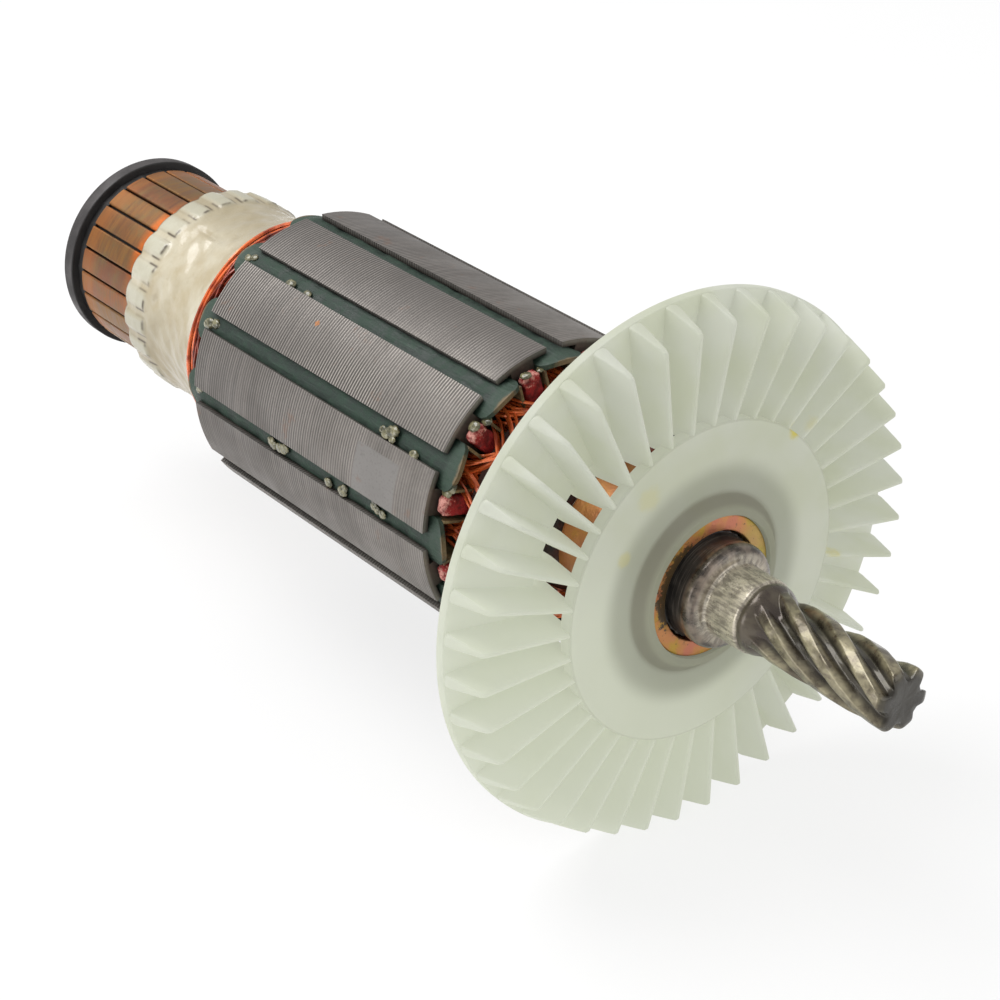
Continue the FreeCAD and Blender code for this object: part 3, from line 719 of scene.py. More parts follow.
def zinc_finish():
    """Passivated zinc: pink, orange and yellow where the film is thick, darker as painted shade under the
    fan, with dirt and painted shade round the bore.
    """
    paint = Paint("zinc_bush")
    x, radius, angle = paint.around()
    cloud = paint.noise(2.6, 2.0)
    base = paint.mix(paint.step(cloud, 0.35, 0.5), colour(220, 132, 110), colour(224, 154, 98))
    base = paint.mix(paint.step(cloud, 0.54, 0.66), base, colour(214, 176, 74))
    # Inside the fan's hub the bush is painted darker golden brown: painted shade under the fan.
    base = paint.mix(paint.step(x, BUSH_REAR + 4.0, FAN_FACE - 1.0, 0.9, 0.4), base, colour(122, 80, 30))
    far_side = paint.step(abs(angle - 195.0), 135.0, 160.0, 0.0, 0.55)
    base = paint.mix(far_side, base, colour(160, 156, 80))
    dirt = paint.noise(0.6, 4.0, roughness=0.7)
    # Dirt round the bore, deepened towards the bore and on one side as painted shade.
    side = paint.step(abs(angle - 160.0), 20.0, 60.0, 1.3, 0.15)
    grime_and_shade = paint.step(dirt + (BUSH_RADIUS - radius) * 0.25 * side, 0.62, 0.78)
    base = paint.mix(grime_and_shade, base, colour(66, 50, 26))
    return paint.finish(
        base_color=base,
        metallic=paint.step(grime_and_shade, 0.0, 1.0, 0.6, 0.0),
        roughness=paint.step(cloud, 0.3, 0.7, 0.3, 0.45),
        normal=paint.bump(dirt, 0.05),
    )


def shaft_finish():
    """Machined steel under dirty oil: dark collar, a near-black neck as painted shade inside the bush,
    smeared journals, olive-brown pinion with dark gaps.
    """
    paint = Paint("shaft_steel")
    x, radius, _ = paint.around()
    mark = paint.noise(0.5, 3.0, paint.unrolled(4.0), 0.6, (3.0, 0.15, 0.2))
    film = paint.noise(2.0, 3.0, roughness=0.6)
    smear = paint.noise(0.8, 4.0, paint.unrolled(4.0), 0.7, (0.5, 1.6, 0.4))
    dark = paint.mix(paint.step(film, 0.35, 0.65), colour(58, 51, 45), colour(136, 122, 108))
    bright = paint.mix(paint.step(smear, 0.38, 0.62), colour(134, 126, 114), colour(200, 191, 172))
    rear = paint.step(x, END_RING_REAR - 0.4, END_RING_REAR, 1.0, 0.0)
    # Behind the collar the neck inside the bush is painted near black, duller and less metallic: painted
    # shade in the bore.
    behind = paint.step(x, -1.9, -1.3, 1.0, 0.0) * (1.0 - rear)
    dark = paint.mix(behind * 0.9, dark, colour(14, 12, 11))
    base = paint.mix(paint.step(x, -0.3, 0.1) + rear, dark, bright)
    base = paint.mix(paint.step(mark, 0.5, 0.7, 0.0, 0.3), base, colour(150, 142, 130))
    olive = paint.mix(paint.step(film, 0.35, 0.68), colour(92, 84, 68), colour(150, 142, 116))
    olive = paint.mix(paint.step(smear, 0.5, 0.72, 0.0, 0.6), olive, colour(84, 72, 62))
    in_gap = paint.step(radius, PINION_ROOT_RADIUS + 0.1, PINION_TIP_RADIUS - 0.25, 0.85, 0.0)
    olive = paint.mix(in_gap, olive, colour(36, 32, 26))
    worn_end = paint.step(x, PINION_END - 0.5, PINION_END - 0.2, 0.0, 0.7)
    olive = paint.mix(worn_end, olive, colour(46, 43, 38))
    burnt = paint.step(x + film * 4.0, JOURNAL_END + 4.0, JOURNAL_END + 6.5, 0.8, 0.0)
    olive = paint.mix(burnt, olive, colour(66, 56, 50))
    base = paint.mix(paint.step(x + film, JOURNAL_END + 0.2, JOURNAL_END + 0.7), base, olive)
    return paint.finish(
        base_color=base,
        metallic=0.6 - 0.6 * behind,
        roughness=paint.step(film, 0.3, 0.7, 0.22, 0.42) + behind * 0.3,
        coat_weight=0.4,
        coat_roughness=0.1,
        normal=paint.bump(film + smear * 0.12, 0.08),
    )


FINISHES = {
    "shaft_steel": shaft_finish(),
    "lamination_steel": lamination_finish(),
    "slot_paper": fibre_finish("slot_paper", colour(138, 120, 86), colour(84, 70, 48)),
    "wedge_fibre": wedge_finish(),
    "end_fibre": star_finish(),
    "copper_wire": copper_wire_finish("copper_wire", colour(236, 116, 58), colour(160, 62, 30)),
    # A darker copy of the wire finish for the rear coil ends: painted shade.
    "shaded_wire": copper_wire_finish("shaded_wire", colour(150, 60, 36), colour(72, 26, 18)),
    "bar_copper": bar_finish(),
    "black_moulding": black_finish(),
    "black_ring": ring_finish(),
    "cream_cement": cement_finish(),
    "clear_resin": clear_resin_finish(),
    "zinc_bush": zinc_finish(),
    "fan_nylon": fan_finish(),
    "sleeve_nylon": fibre_finish("sleeve_nylon", colour(190, 184, 166), colour(150, 142, 124)),
    # dark_gap is painted shade that fills the inside of the coil ends.
    "dark_gap": fibre_finish("dark_gap", colour(78, 34, 20), colour(16, 9, 8)),
}


def finish_nodes():
    """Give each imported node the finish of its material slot."""
    for entry in frame["record"]["subparts"]:
        node = frame["nodes"][entry["node"]]
        node.data.materials.clear()
        node.data.materials.append(FINISHES[entry["material_slot"]])


def spun(points, angle):
    """Points turned about the axis by an angle in degrees."""
    turn = math.radians(angle)
    across = np.array([[math.cos(turn), -math.sin(turn)], [math.sin(turn), math.cos(turn)]])
    return np.concatenate([points[..., :1], points[..., 1:] @ across.T], axis=-1)


def strip_between(loop):
    """Strip of quads that closes a loop whose second half mirrors its first."""
    half = len(loop) // 2
    return grid(np.stack([loop[:half], loop[::-1][:half]], axis=1))


def closed_tube(points):
    """A sheet of closed loops with its first and last loop closed."""
    return joined([grid(points, False, True), strip_between(points[0]), strip_between(points[-1])])


def blade_along(radius):
    """Distance along a leaning blade from its root to a radius."""
    lean = math.radians(BLADE_LEAN)
    aside = BLADE_ROOT_RADIUS * math.sin(lean)
    return np.sqrt(radius * radius - aside * aside) - BLADE_ROOT_RADIUS * math.cos(lean)


def blade_edges(s):
    """Front and back edge of a blade at distances s from its root.

    The front edge is the smooth lower bound of two lines, one that rises a little to the corner and
    one that falls from there to the ring. Over the disc it lies a little below the disc's face. The
    back edge drops a little on its way into the ring.
    """
    corner = blade_along(BLADE_CORNER_RADIUS)
    rim = blade_along(FAN_RADIUS)
    top = FAN_FACE + BLADE_FRONT_RISE
    slope = (FAN_BACK + FAN_RING_THICKNESS - top) / (rim - corner)
    rising = FAN_FACE + BLADE_FRONT_RISE * s / corner
    falling = top + slope * (s - corner)
    softness = BLADE_CORNER_SOFTNESS
    front = -softness * np.logaddexp(-rising / softness, -falling / softness)
    disc_edge = smooth_step(s, blade_along(FAN_DISC_RADIUS - 0.25), blade_along(FAN_DISC_RADIUS - 0.05))
    front -= 0.03 * (1.0 - disc_edge)
    ring_start = blade_along(FAN_RING_INNER_RADIUS) + 0.2
    back = np.interp(s, [0.0, ring_start], [FAN_HUB_REAR + 0.1, FAN_BACK + 0.3])
    return front, back


def fan_blades():
    """Forty plates that lean back from the radial line and get thinner from the ring to the front.

    At the front edge the thickness falls as a quarter of a circle does, and it falls in the same way
    at the rim.
    """
    end = blade_along(FAN_RADIUS - 0.08)
    s = np.sort(np.concatenate([np.linspace(0.0, end - 0.3, 42), np.linspace(end - 0.25, end, 8)]))
    front, back = blade_edges(s)
    t = (1.0 - np.cos(np.linspace(0.0, math.pi, 16))) / 2.0
    depth = (front - back)[:, None]
    x = back[:, None] + depth * t
    to_edge = np.clip(depth * (1.0 - t) / 0.3, 0.0, 1.0)
    to_rim = np.clip((end - s) / 0.25, 0.0, 1.0)[:, None]
    roundness = np.sqrt(to_edge * (2.0 - to_edge)) * np.sqrt(to_rim * (2.0 - to_rim))
    thickness = np.interp(x, [FAN_BACK, FAN_FACE], [BLADE_BACK_THICKNESS, BLADE_FRONT_THICKNESS])
    half = thickness / 2.0 * (0.08 + 0.92 * roundness)
    lean = math.radians(BLADE_LEAN)
    sides = []
    for side in (1.0, -1.0):
        y = BLADE_ROOT_RADIUS + s[:, None] * math.cos(lean) + side * half * math.sin(lean)
        z = -s[:, None] * math.sin(lean) + side * half * math.cos(lean)
        sides.append(np.stack([x, y, z], axis=-1))
    blade = np.concatenate([sides[0], sides[1][:, ::-1]], axis=1)
    return joined([closed_tube(spun(blade, BLADE_HUB_ANGLE + k * BLADE_PITCH)) for k in range(BLADE_COUNT)])


def fan_hub():
    """Hub, collar and front disc turned as one profile with rounded edges."""
    disc_back = FAN_FACE - FAN_DISC_THICKNESS
    bore = BUSH_RADIUS + 0.05
    return turned(rounded([
        (FAN_HUB_REAR, bore),
        (FAN_HUB_REAR, FAN_COLLAR_RADIUS),
        (disc_back, FAN_COLLAR_RADIUS),
        (disc_back, FAN_DISC_RADIUS),
        (FAN_FACE, FAN_DISC_RADIUS),
        (FAN_FACE, FAN_COLLAR_RADIUS + FAN_COLLAR_FLARE),
        (FAN_COLLAR_FRONT, FAN_COLLAR_TOP_RADIUS),
        (FAN_COLLAR_FRONT, bore),
    ], 0.12), 240)


def fan_ring():
    """Back ring with rounded edges."""
    front = FAN_BACK + FAN_RING_THICKNESS
    return turned(rounded([
        (FAN_BACK, FAN_RING_INNER_RADIUS),
        (FAN_BACK, FAN_RADIUS),
        (front, FAN_RADIUS),
        (front, FAN_RING_INNER_RADIUS),
    ], 0.15), 240)


def bush_tube():
    """Steel bush with small rounds at its ends."""
    return turned(rounded([
        (BUSH_REAR, BUSH_BORE),
        (BUSH_REAR, BUSH_RADIUS),
        (BUSH_FRONT, BUSH_RADIUS),
        (BUSH_FRONT, BUSH_BORE),
    ], 0.2), 180)


def commutator_bars():
    """Copper bars with slightly rounded long edges and narrow gaps.

    The section is a loop: across the top the radius is even and drops near the edges as a circle
    does, and below it is a straight line.
    """
    u = np.linspace(-1.0, 1.0, 25)
    drop = 0.12 * (1.0 - np.sqrt(1.0 - np.clip((np.abs(u) - 0.9) / 0.1, 0.0, 1.0) ** 2))
    half = BAR_PITCH / 2.0 - np.degrees(BAR_GAP / 2.0 / BAR_RADIUS)
    radius = np.concatenate([BAR_RADIUS - drop, np.full(len(u), BAR_RADIUS - BAR_DEPTH)])
    angle = np.concatenate([u, u[::-1]]) * half
    x = np.linspace(BAR_REAR, BAR_FRONT, 12)[:, None]
    return joined([closed_tube(polar(x, radius, angle + k * BAR_PITCH)) for k in range(BAR_COUNT)])


def black_end_ring():
    """Ring behind the commutator with rounded edges."""
    return turned(rounded([
        (END_RING_REAR, END_RING_BORE),
        (END_RING_REAR, END_RING_RADIUS),
        (END_RING_FRONT, END_RING_RADIUS),
        (END_RING_FRONT, END_RING_BORE),
    ], 0.2), 180)


def shaft_blank():
    """Journals, seats, knurled land, collar and neck, turned as one profile up to the pinion.

    On the land the radius dips between the ridges as the size of a sine does.
    """
    columns = 360
    profile = rounded([
        (SHAFT_REAR, 0.0),
        (SHAFT_REAR, REAR_JOURNAL_RADIUS),
        (END_RING_REAR, REAR_JOURNAL_RADIUS),
        (END_RING_REAR, COMMUTATOR_SEAT_RADIUS),
        (CORE_FRONT, COMMUTATOR_SEAT_RADIUS),
        (CORE_FRONT, SLEEVE_BORE_RADIUS),
        (SLEEVE_FRONT, SLEEVE_BORE_RADIUS),
        (SLEEVE_FRONT, FAN_SEAT_RADIUS),
        (KNURL_REAR, FAN_SEAT_RADIUS),
        (KNURL_REAR, KNURL_RADIUS),
        (KNURL_FRONT, KNURL_RADIUS),
        (KNURL_FRONT, COLLAR_PROFILE[0][1]),
        *COLLAR_PROFILE,
        (COLLAR_PROFILE[-1][0], JOURNAL_RADIUS),
        (JOURNAL_END, JOURNAL_RADIUS),
        (JOURNAL_END, 0.0),
    ], 0.45, 5, closed=False)
    x, radius = profile.T[:, :, None]
    angle = np.arange(columns) * 360.0 / columns
    on_land = smooth_step(radius, 5.7, 5.95)
    ridges = np.abs(np.sin(np.radians(angle) * KNURL_RIDGES / 2.0))
    return grid(polar(x, radius - KNURL_DEPTH * ridges * on_land, angle), False, True)


def pinion():
    """Right-hand helical teeth, rounded by wear, with worn ends and a film of grease.

    Round the shaft the radius goes smoothly between the root and the tip of each tooth. Near the
    journal a ramp fills the gaps between the teeth. At the free end the teeth are rounded off as a
    quarter of a circle. Low sine waves in place and angle make the grease uneven.
    """
    columns = 216
    body = np.linspace(JOURNAL_END - 0.8, PINION_END - PINION_END_ROUND - 0.04, 220)
    x = np.concatenate([body, np.linspace(PINION_END - PINION_END_ROUND, PINION_END, 14)])[:, None]
    angle = (np.arange(columns) * 360.0 / columns)[None, :]
    pitch = 360.0 / PINION_TEETH
    twist = 360.0 * (x - JOURNAL_END) / PINION_LEAD
    from_tooth = ((angle - twist) / pitch + 0.5) % 1.0 - 0.5
    tooth = 1.0 - smooth_step(np.abs(from_tooth + 0.02), 0.14, 0.42)
    radius = PINION_ROOT_RADIUS + (PINION_TIP_RADIUS - PINION_ROOT_RADIUS) * tooth
    run_out = smooth_step(x, JOURNAL_END + 0.3, JOURNAL_END + 3.6)
    ramp = RUNOUT_RADIUS - (RUNOUT_RADIUS - PINION_ROOT_RADIUS) * run_out
    radius = np.logaddexp(radius / 0.12, ramp / 0.12) * 0.12 - 0.06
    turn = np.radians(angle)
    film = np.sin(0.9 * x + 2.0 * turn) * np.sin(1.3 * x - 3.0 * turn + 1.0)
    film = film + 0.5 * np.sin(2.3 * x + 5.0 * turn + 2.0)
    radius = radius + GREASE_HEIGHT * film
    edge = np.clip((x - PINION_END) / PINION_END_ROUND + 1.0, 0.0, 1.0)
    roundness = 0.45 + 0.55 * np.sqrt(1.0 - edge * edge)
    radius = PINION_CORE_RADIUS + (radius - PINION_CORE_RADIUS) * roundness
    points = polar(np.minimum(x, PINION_END), np.minimum(radius, RUNOUT_RADIUS), angle)
    to_axis = np.array([0.7, 0.35, 0.0])[:, None]
    face = polar(PINION_END - 0.12 * (1.0 - to_axis), radius[-1:] * to_axis, angle)
    start = polar(x[:1], 0.0, angle)
    return grid(np.concatenate([start, points, face]), False, True)


def slot_half_angle(radius):
    """Half the angle between two parallel-sided teeth at a radius."""
    return SLOT_PITCH / 2.0 - np.degrees(np.arcsin(TOOTH_NECK / 2.0 / radius))


def slot_wedges():
    """Bowed fibre strips under the tooth tips, with rounded ends that lift a little.

    Across the strip u goes from -1 to 1. The top falls from the middle as the square of u, and the
    ends pull back as a circle does. The section is a flat loop: top from side to side, then back below.
    """
    rng = np.random.default_rng(4)
    u = np.linspace(-1.0, 1.0, 15)
    loop_u = np.concatenate([u, u[::-1]])
    below = np.concatenate([np.zeros(len(u)), np.full(len(u), WEDGE_THICKNESS)])
    radius = WEDGE_TOP + 0.12 - 0.62 * loop_u ** 2 - below
    angle = loop_u * (slot_half_angle(WEDGE_TOP) - 0.3)
    share = np.linspace(-1.0, 1.0, 90)[:, None]
    share = np.sign(share) * np.abs(share) ** 0.55
    pulled_back = WEDGE_END_CURVE * (1.0 - np.sqrt(1.0 - 0.98 * loop_u ** 2))
    x = STACK_MIDDLE + share * (STACK_HALF + WEDGE_OVERHANG - pulled_back)
    past_core = smooth_step(np.abs(x - STACK_MIDDLE), STACK_HALF, STACK_HALF + WEDGE_OVERHANG)
    parts = []
    for k in range(SLOT_COUNT):
        phase = rng.uniform(0.0, 6.3, 4)
        wobble = 0.05 * np.sin(x * 0.9 + phase[0]) + 0.04 * np.sin(x * 2.3 + phase[1] + 3.0 * loop_u)
        lift = past_core * (0.3 * loop_u ** 2 - 0.1 + 0.12 * np.sin(phase[2] + 2.5 * loop_u))
        parts.append(closed_tube(polar(x, radius + wobble + lift, k * SLOT_PITCH + angle)))
    return joined(parts)


def fibre_stars():
    """Red fibre plates at both ends of the core: a hub ring and twelve arms with rounded tips.

    The section of an arm is a superellipse of power 4. It shrinks to nothing at the tip as a circle
    does, and small random steps make the surface hairy.
    """
    rng = np.random.default_rng(3)
    turn = np.linspace(0.0, 2.0 * math.pi, 25)[:-1] + math.pi / 24.0
    round_x = np.sign(np.cos(turn)) * np.abs(np.cos(turn)) ** 0.5
    round_z = np.sign(np.sin(turn)) * np.abs(np.sin(turn)) ** 0.5
    tip = STAR_TIP_RADIUS
    end = np.linspace(tip - STAR_TIP_ROUND, tip, 9)
    radius = np.concatenate([np.linspace(STAR_ROOT_RADIUS, tip - STAR_TIP_ROUND - 0.1, 30), end])
    past = np.clip((radius - tip + STAR_TIP_ROUND) / STAR_TIP_ROUND, 0.0, 0.999)
    size = np.sqrt(1.0 - past ** 2)[:, None]
    parts = []
    off_core = STAR_THICKNESS / 2.0 + 0.05
    half_hub = STAR_HUB_WIDTH / 2.0
    for plate in (STACK_FRONT + off_core, STACK_REAR - off_core):
        parts.append(turned(rounded([
            (plate - half_hub, STAR_BORE),
            (plate - half_hub, STAR_ROOT_RADIUS + 1.2),
            (plate + half_hub, STAR_ROOT_RADIUS + 1.2),
            (plate + half_hub, STAR_BORE),
        ], 0.2)))
        for k in range(SLOT_COUNT):
            hairs = rng.normal(0.0, 0.05, (len(radius), len(turn), 3)) * size[:, :, None]
            x = plate + (STAR_THICKNESS / 2.0 - 0.08) * round_x * size
            z = STAR_ARM_WIDTH / 2.0 * round_z * size
            arm = np.stack([x, radius[:, None] + 0.0 * x, z], axis=-1) + hairs * np.array([0.5, 1.0, 1.0])
            parts.append(closed_tube(spun(arm, (k + 0.5) * SLOT_PITCH)))
    return joined(parts)


def tubes(paths, radius, sides=6):
    """Round wires along paths, an array (wires, steps, 3).

    Each ring lies square to the path, and its first direction is the cross product of the path's
    direction and the wire's own steady direction, from the axis to the mean of its points.
    """
    along = np.gradient(paths, axis=1)
    along /= np.linalg.norm(along, axis=-1, keepdims=True)
    steady = paths.mean(axis=1, keepdims=True) * np.array([0.0, 1.0, 1.0])
    first = np.cross(along, steady)
    first /= np.linalg.norm(first, axis=-1, keepdims=True)
    second = np.cross(along, first)
    turn = np.arange(sides) * 2.0 * math.pi / sides
    ring = np.cos(turn)[:, None] * first[:, :, None] + np.sin(turn)[:, None] * second[:, :, None]
    surface = paths[:, :, None] + radius * ring
    return joined([closed_tube(sheet) for sheet in surface])


def coil_paths(first_angle, span, strands, slot_radius, peak_radius, start, peak, rng):
    """Strands of one coil from slot to slot over the end of the core.

    With t from 0 to 1 along a strand, the height off the core follows the 0.45th power of
    sin(pi t), the radius falls towards the middle with its 0.9th power, and the angle goes evenly.
    """
    t = (1.0 - np.cos(np.linspace(0.0, 1.0, STRAND_STEPS) * math.pi)) / 2.0
    arch = np.sin(t * math.pi)
    paths = []
    for j in range(strands):
        share = j / max(strands - 1, 1)
        radius = slot_radius - share * 3.2 + rng.normal(0.0, 0.08)
        inner = peak_radius + (1.0 - share) * 2.6
        height = (peak - start) * (0.55 + 0.45 * (1.0 - share)) + rng.normal(0.0, 0.1)
        x = start + height * arch ** 0.45
        r = radius - (radius - inner) * arch ** 0.9
        sway = 0.015 * np.sin(t * 6.3 + rng.uniform(0.0, 6.3))
        angle = first_angle + span * (t + sway) + rng.normal(0.0, 0.5)
        paths.append(polar(x, r, angle))
    return np.array(paths)


def front_wires():
    """Coil ends at the fan's side: two crossing coils from each slot, each a band of strands."""
    rng = np.random.default_rng(11)
    paths = []
    for k in range(SLOT_COUNT):
        for layer in range(2):
            angle = k * SLOT_PITCH + rng.uniform(-3.0, 3.0) + 4.0 * (layer - 0.5)
            peak = STACK_FRONT + 8.6 - 2.2 * layer + rng.uniform(-0.4, 0.3)
            start = STACK_FRONT - 1.0
            paths.append(coil_paths(angle, COIL_SPAN, FRONT_STRANDS, 14.3, 7.2 + layer, start, peak, rng))
    return tubes(np.concatenate(paths), WIRE_RADIUS)


def rear_wires():
    """Coil ends at the commutator's side."""
    rng = np.random.default_rng(12)
    paths = []
    for k in range(SLOT_COUNT):
        angle = k * SLOT_PITCH + rng.uniform(-3.0, 3.0)
        start = STACK_REAR + 1.0
        peak = STACK_REAR - 5.6
        paths.append(coil_paths(angle, COIL_SPAN, REAR_STRANDS, 14.2, 11.5, start, peak, rng))
    return tubes(np.concatenate(paths), WIRE_RADIUS)


def last_turns():
    """The last turns of wire, which lie round the coil ends against the resin."""
    paths = []
    t = np.linspace(0.0, 1.0, STRAND_STEPS)
    for turn in range(LAST_TURNS):
        for k in range(3):
            start = 120.0 * k + 35.0 * turn
            x = CEMENT_FRONT + 0.35 + 0.55 * turn + 0.12 * np.sin(t * 7.0 + k + 2.0 * turn)
            radius = 14.25 - 0.15 * turn + 0.08 * np.sin(t * 9.0 + 3.0 * k)
            paths.append(polar(x, radius, start + t * 124.0)[None])
    return tubes(np.concatenate(paths), LAST_TURN_RADIUS)


def painted_shade_cores():
    """Dark solid inside both coil ends, turned, a little under the strands: painted shade between the
    wires.
    """
    front = turned([(STACK_FRONT + away, radius) for away, radius in FRONT_HEAD_PROFILE])
    rear = turned([
        (CEMENT_FRONT - 0.2, STAR_BORE),
        (CEMENT_FRONT - 0.2, 13.6),
        (STACK_REAR - 1.7, 13.2),
        (STACK_REAR - 1.7, STAR_BORE),
    ])
    return joined([front, rear])


def swelling(x, angle, spots):
    """Sum of bell-shaped swellings: each has a place, an angle, two half widths and a height."""
    total = 0.0 * x
    for place, turn, half_length, half_angle, height in spots:
        aside = (angle - turn + 180.0) % 360.0 - 180.0
        total = total + height * np.exp(-((x - place) / half_length) ** 2 - (aside / half_angle) ** 2)
    return total


def cement_sleeve():
    """Resin over the leads, with a raised tab over each hook.

    The radius follows a smooth profile along the axis, low waves, and some swellings and dents. A tab
    is a flat-topped block that goes from the rear edge to the bar's front end. The flux and shadow
    mark is dark in thin lines along the sides and ends of the tabs and along the rear edge, with a
    strength of its own for each side: old flux with painted shadow in the creases.
    """
    rows = 120
    columns = BAR_COUNT * 28
    angle = (np.arange(columns) * 360.0 / columns)[None, :]
    from_bar = ((angle + BAR_PITCH / 2.0) % BAR_PITCH - BAR_PITCH / 2.0) / BAR_PITCH * 2.0
    aside = np.abs(from_bar)
    bar = np.floor((angle + BAR_PITCH / 2.0) / BAR_PITCH).astype(int) % BAR_COUNT
    rng = np.random.default_rng(7)
    shift = rng.uniform(-0.25, 0.25, BAR_COUNT)[bar]
    rear_edge = CEMENT_REAR + 0.7 + 0.45 * aside ** 2 + shift * (1.0 - aside ** 2)
    share = np.linspace(0.0, 1.0, rows)[:, None] ** 1.15
    x = rear_edge + share * (CEMENT_FRONT - rear_edge)
    profile = np.interp(x, CEMENT_PROFILE_X, CEMENT_PROFILE_RADIUS)
    tab_end = BAR_FRONT - 0.3 + rng.uniform(-0.2, 0.5, BAR_COUNT)[bar]
    along_tab = smooth_step(x, rear_edge, rear_edge + 0.5) * (1.0 - smooth_step(x, tab_end, tab_end + 0.9))
    across_tab = 1.0 - smooth_step(aside, 0.35, rng.uniform(0.75, 1.0, BAR_COUNT)[bar])
    tab = along_tab * across_tab * rng.uniform(0.1, 0.34, BAR_COUNT)[bar]
    turn = np.radians(angle)
    waves = 0.10 * np.sin(3.0 * turn + 0.35 * x) + 0.07 * np.sin(7.0 * turn - 0.9 * x + 1.0)
    waves = waves + 0.05 * np.sin(11.0 * turn + 1.7 * x) + 0.03 * np.sin(23.0 * turn - 2.6 * x)
    body = smooth_step(x, BAR_FRONT - 1.0, BAR_FRONT + 1.5)
    radius = profile + tab + waves * (0.15 + 0.85 * body) + swelling(x, angle, RESIN_SPOTS)
    lip = np.linspace(0.0, 1.0, 7)[1:, None]
    rear_x = rear_edge + 0.25 * (1.0 - np.cos(lip * math.pi / 2.0)) - 0.25 * np.sin(lip * math.pi)
    rear = polar(rear_x, radius[:1] + (BAR_RADIUS + 0.06 - radius[:1]) * lip, angle)[::-1]
    front_x = CEMENT_FRONT + 0.2 * np.sin(lip * math.pi)
    front = polar(front_x, radius[-1:] + (13.0 - radius[-1:]) * lip, angle)
    # Dark lines along the tab sides, tab ends and rear edge: old flux with painted shadow in the creases.
    side_strength = rng.uniform(0.3, 1.4, (BAR_COUNT, 2))[bar, (from_bar > 0.0).astype(int)]
    side_line = along_tab * np.exp(-((aside - 0.74) / 0.075) ** 2) * side_strength
    side_line = side_line * (0.15 + 0.85 * smooth_step(x, tab_end - 1.5, tab_end - 0.9))
    end_strength = rng.uniform(0.5, 1.3, BAR_COUNT)[bar]
    end_line = np.exp(-((x - tab_end - 0.3) / 0.17) ** 2) * across_tab * end_strength
    end_line = end_line * smooth_step(np.sin(from_bar * 4.0 + 2.3 * bar), -0.6, 0.4)
    rear_line = np.exp(-((x - rear_edge) / 0.16) ** 2) * 0.8
    flux_and_shadow = np.clip(side_line + end_line + rear_line, 0.0, 1.0)
    flux_and_shadow = np.concatenate([np.full_like(rear[..., 0], 0.85), flux_and_shadow, np.full_like(front[..., 0], 0.1)])
    tab = np.concatenate([0.0 * rear[..., 0], along_tab * across_tab, 0.0 * front[..., 0]])
    points = np.concatenate([rear, polar(x, radius, angle), front])
    return grid(points, False, True), {"flux_and_shadow": flux_and_shadow, "tab": tab}


def resin_crumbs():
    """Drops of hard resin on the wedges and between the arms, each a few knobbly balls in a row.

    A ball is a grid of angles whose radius varies with sine waves, squashed towards the axis.
    """
    rng = np.random.default_rng(9)
    across = np.linspace(0.0, math.pi, 12)[:, None]
    round_angle = (np.arange(16) * 2.0 * math.pi / 16.0)[None, :]
    parts = []
    for place, turn, length, level in RESIN_CRUMBS:
        for _ in range(max(2, round(length * 2.4))):
            size = rng.uniform(0.3, 0.66)
            phase = rng.uniform(0.0, 6.3, 3)
            knobs = 1.0 + 0.09 * np.sin(3.0 * across + phase[0]) * np.sin(4.0 * round_angle + phase[1])
            sideways = size * knobs * np.sin(across) * np.cos(round_angle)
            out = 0.5 * size * knobs * np.sin(across) * np.sin(round_angle)
            x = place + rng.uniform(-0.5, 0.5) * length + 1.2 * size * knobs * np.cos(across)
            ball = np.stack([x, level + out, rng.normal(0.0, 0.25) + sideways], axis=-1)
            parts.append(grid(spun(ball, turn), False, True))
    return joined(parts)


def camera():
    """Camera at the photograph's place: level, long lens, straight at its own picture's middle."""
    azimuth = math.radians(VIEW_AZIMUTH)
    elevation = math.radians(VIEW_ELEVATION)
    right = Vector((math.cos(azimuth), math.sin(azimuth), 0.0))
    back = Vector((
        math.sin(azimuth) * math.cos(elevation),
        -math.cos(azimuth) * math.cos(elevation),
        math.sin(elevation),
    ))
    up = back.cross(right)
    core_end = Vector((STACK_FRONT, 0.0, 0.0))
    place = core_end - right * CORE_END_RIGHT - up * CORE_END_DOWN + back * CORE_END_AWAY
    data = bpy.data.cameras.new("camera")
    data.sensor_width = SENSOR_WIDTH
    data.lens = FOCAL_LENGTH_PX * SENSOR_WIDTH / IMAGE_SIZE
    data.clip_start = 0.01
    eye = bpy.data.objects.new("camera", data)
    turn = Matrix((right, up, back)).transposed().to_4x4()
    eye.matrix_world = Matrix.Translation(place * MM) @ turn
    bpy.context.scene.collection.objects.link(eye)
    bpy.context.scene.camera = eye
    return right, up, back


def lamp(name, direction, distance, size, power):
    """Soft square lamp that faces the middle of the part."""
    middle = Vector((LAMP_AIM * MM, 0.0, 0.0))
    data = bpy.data.lights.new(name, "AREA")
    data.size = size
    data.energy = power
    light = bpy.data.objects.new(name, data)
    direction = Vector(direction).normalized()
    light.location = middle + direction * distance
    light.rotation_euler = direction.to_track_quat("Z", "Y").to_euler()
    bpy.context.scene.collection.objects.link(light)


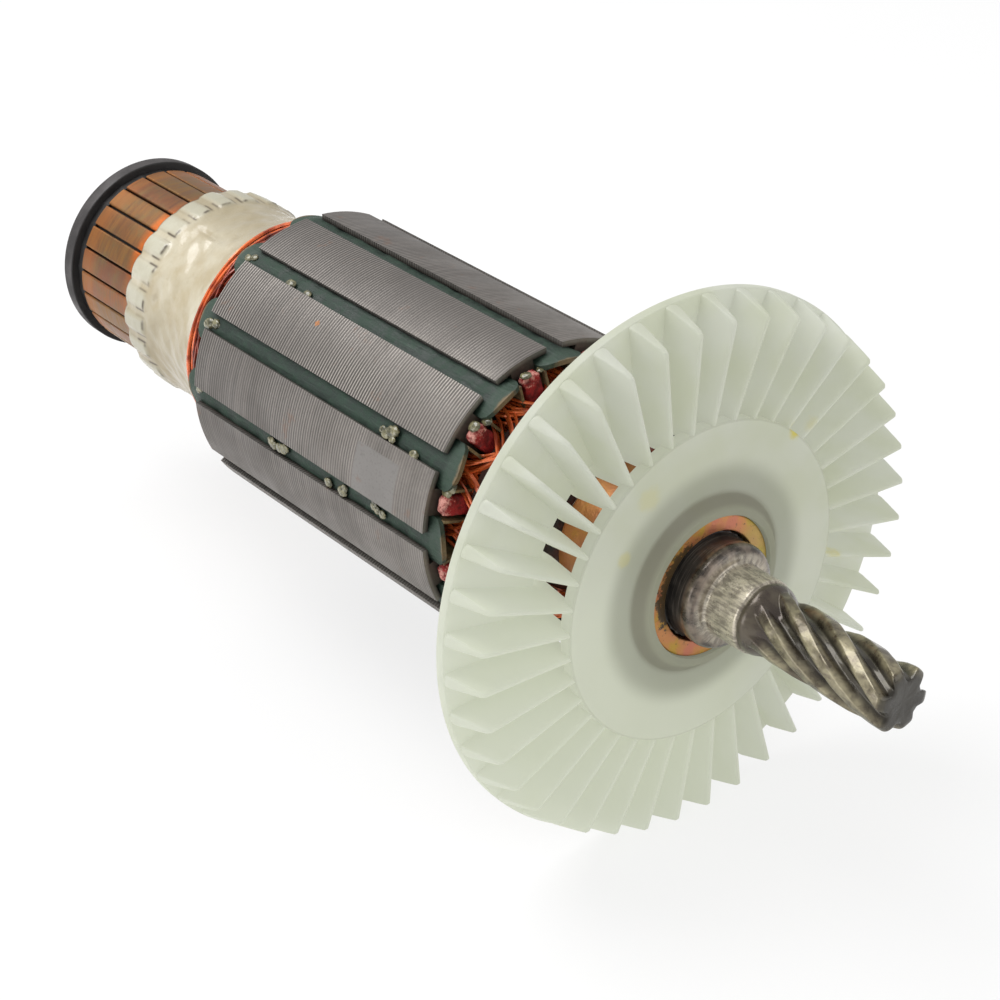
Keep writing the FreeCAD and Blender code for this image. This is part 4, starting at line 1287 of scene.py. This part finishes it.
def studio(right, up, back):
    """White surroundings, dimmer as a light than as a background, and three soft lamps."""
    world = bpy.data.worlds.new("studio")
    bpy.context.scene.world = world
    world.use_nodes = True
    nodes = world.node_tree.nodes
    nodes.clear()
    links = world.node_tree.links
    path = nodes.new("ShaderNodeLightPath")
    seen = nodes.new("ShaderNodeMath")
    seen.operation = "MAXIMUM"
    links.new(path.outputs["Is Camera Ray"], seen.inputs[0])
    links.new(path.outputs["Is Transmission Ray"], seen.inputs[1])
    level = nodes.new("ShaderNodeMapRange")
    level.inputs["To Min"].default_value = SURROUNDING_LIGHT
    level.inputs["To Max"].default_value = 1.0
    links.new(seen.outputs[0], level.inputs["Value"])
    background = nodes.new("ShaderNodeBackground")
    background.inputs["Color"].default_value = (1.0, 1.0, 1.0, 1.0)
    links.new(level.outputs[0], background.inputs["Strength"])
    output = nodes.new("ShaderNodeOutputWorld")
    links.new(background.outputs[0], output.inputs["Surface"])
    lamp("key", up * 1.0 - right * 0.55 + back * 0.35, 0.5, 0.35, 2.1)
    lamp("fill", right * 0.9 + back * 0.8 + up * 0.2, 0.6, 0.5, 0.9)
    lamp("low", -right * 1.0 + back * 0.5 - up * 0.1, 0.6, 0.3, 0.9)


def floor():
    """Pale floor just under the fan's rim."""
    paint = Paint("floor")
    grain = paint.noise(40.0, 2.0)
    pale = paint.mix(grain, (0.9, 0.9, 0.9, 1.0), (0.88, 0.88, 0.88, 1.0))
    shadowed = paint.node("ShaderNodeBsdfDiffuse", None, {"Color": pale})
    bright = paint.node("ShaderNodeEmission", None, {"Color": (1.0, 1.0, 1.0, 1.0), "Strength": 1.0})
    path = paint.node("ShaderNodeLightPath", output="Is Camera Ray")
    surface = paint.node("ShaderNodeMixShader", None, {0: path * 0.75, 1: shadowed, 2: bright})
    paint.node("ShaderNodeOutputMaterial", None, {"Surface": surface})
    corner = np.array([-FLOOR_HALF, FLOOR_HALF])
    x, y = np.meshgrid(corner, corner, indexing="ij")
    points, quads = grid(np.stack([x, y, np.full_like(x, FLOOR_LEVEL)], axis=-1))
    mesh = bpy.data.meshes.new("floor")
    mesh.from_pydata((points * MM).tolist(), [], quads.tolist())
    mesh.materials.append(paint.material)
    piece = bpy.data.objects.new("floor", mesh)
    bpy.context.scene.collection.objects.link(piece)


finish_nodes()
add_piece("fan_body", joined([fan_hub(), fan_ring(), fan_blades()]), "fan_nylon", ["fan"])
add_piece("bush_tube", bush_tube(), "zinc_bush", ["fan_bush"])
add_piece("shaft_body", joined([shaft_blank(), pinion()]), "shaft_steel", ["shaft"])
add_piece("black_end_ring", black_end_ring(), "black_ring", ["end_ring"])
bar_nodes = ["commutator_bar_%02d" % (k + 1) for k in range(BAR_COUNT)]
add_piece("commutator_bars", commutator_bars(), "bar_copper", bar_nodes)
wedge_nodes = ["slot_wedge_%02d" % (k + 1) for k in range(SLOT_COUNT)]
add_piece("wedges", slot_wedges(), "wedge_fibre", wedge_nodes)
star_nodes = ["front_end_insulator", "rear_end_insulator"]
add_piece("fibre_stars", fibre_stars(), "end_fibre", star_nodes)
add_piece("coil_ends_front", front_wires(), "copper_wire", ["armature_winding"])
add_piece("coil_ends_rear", rear_wires(), "shaded_wire")
add_piece("last_turns", last_turns(), "copper_wire")
add_piece("coil_end_shade_fill", painted_shade_cores(), "dark_gap")
resin, resin_marks = cement_sleeve()
add_piece("resin_sleeve", resin, "cream_cement", ["lead_cement"], resin_marks)
add_piece("resin_crumbs", resin_crumbs(), "clear_resin")
studio(*camera())
floor()

bpy.context.scene.view_settings.view_transform = "Standard"
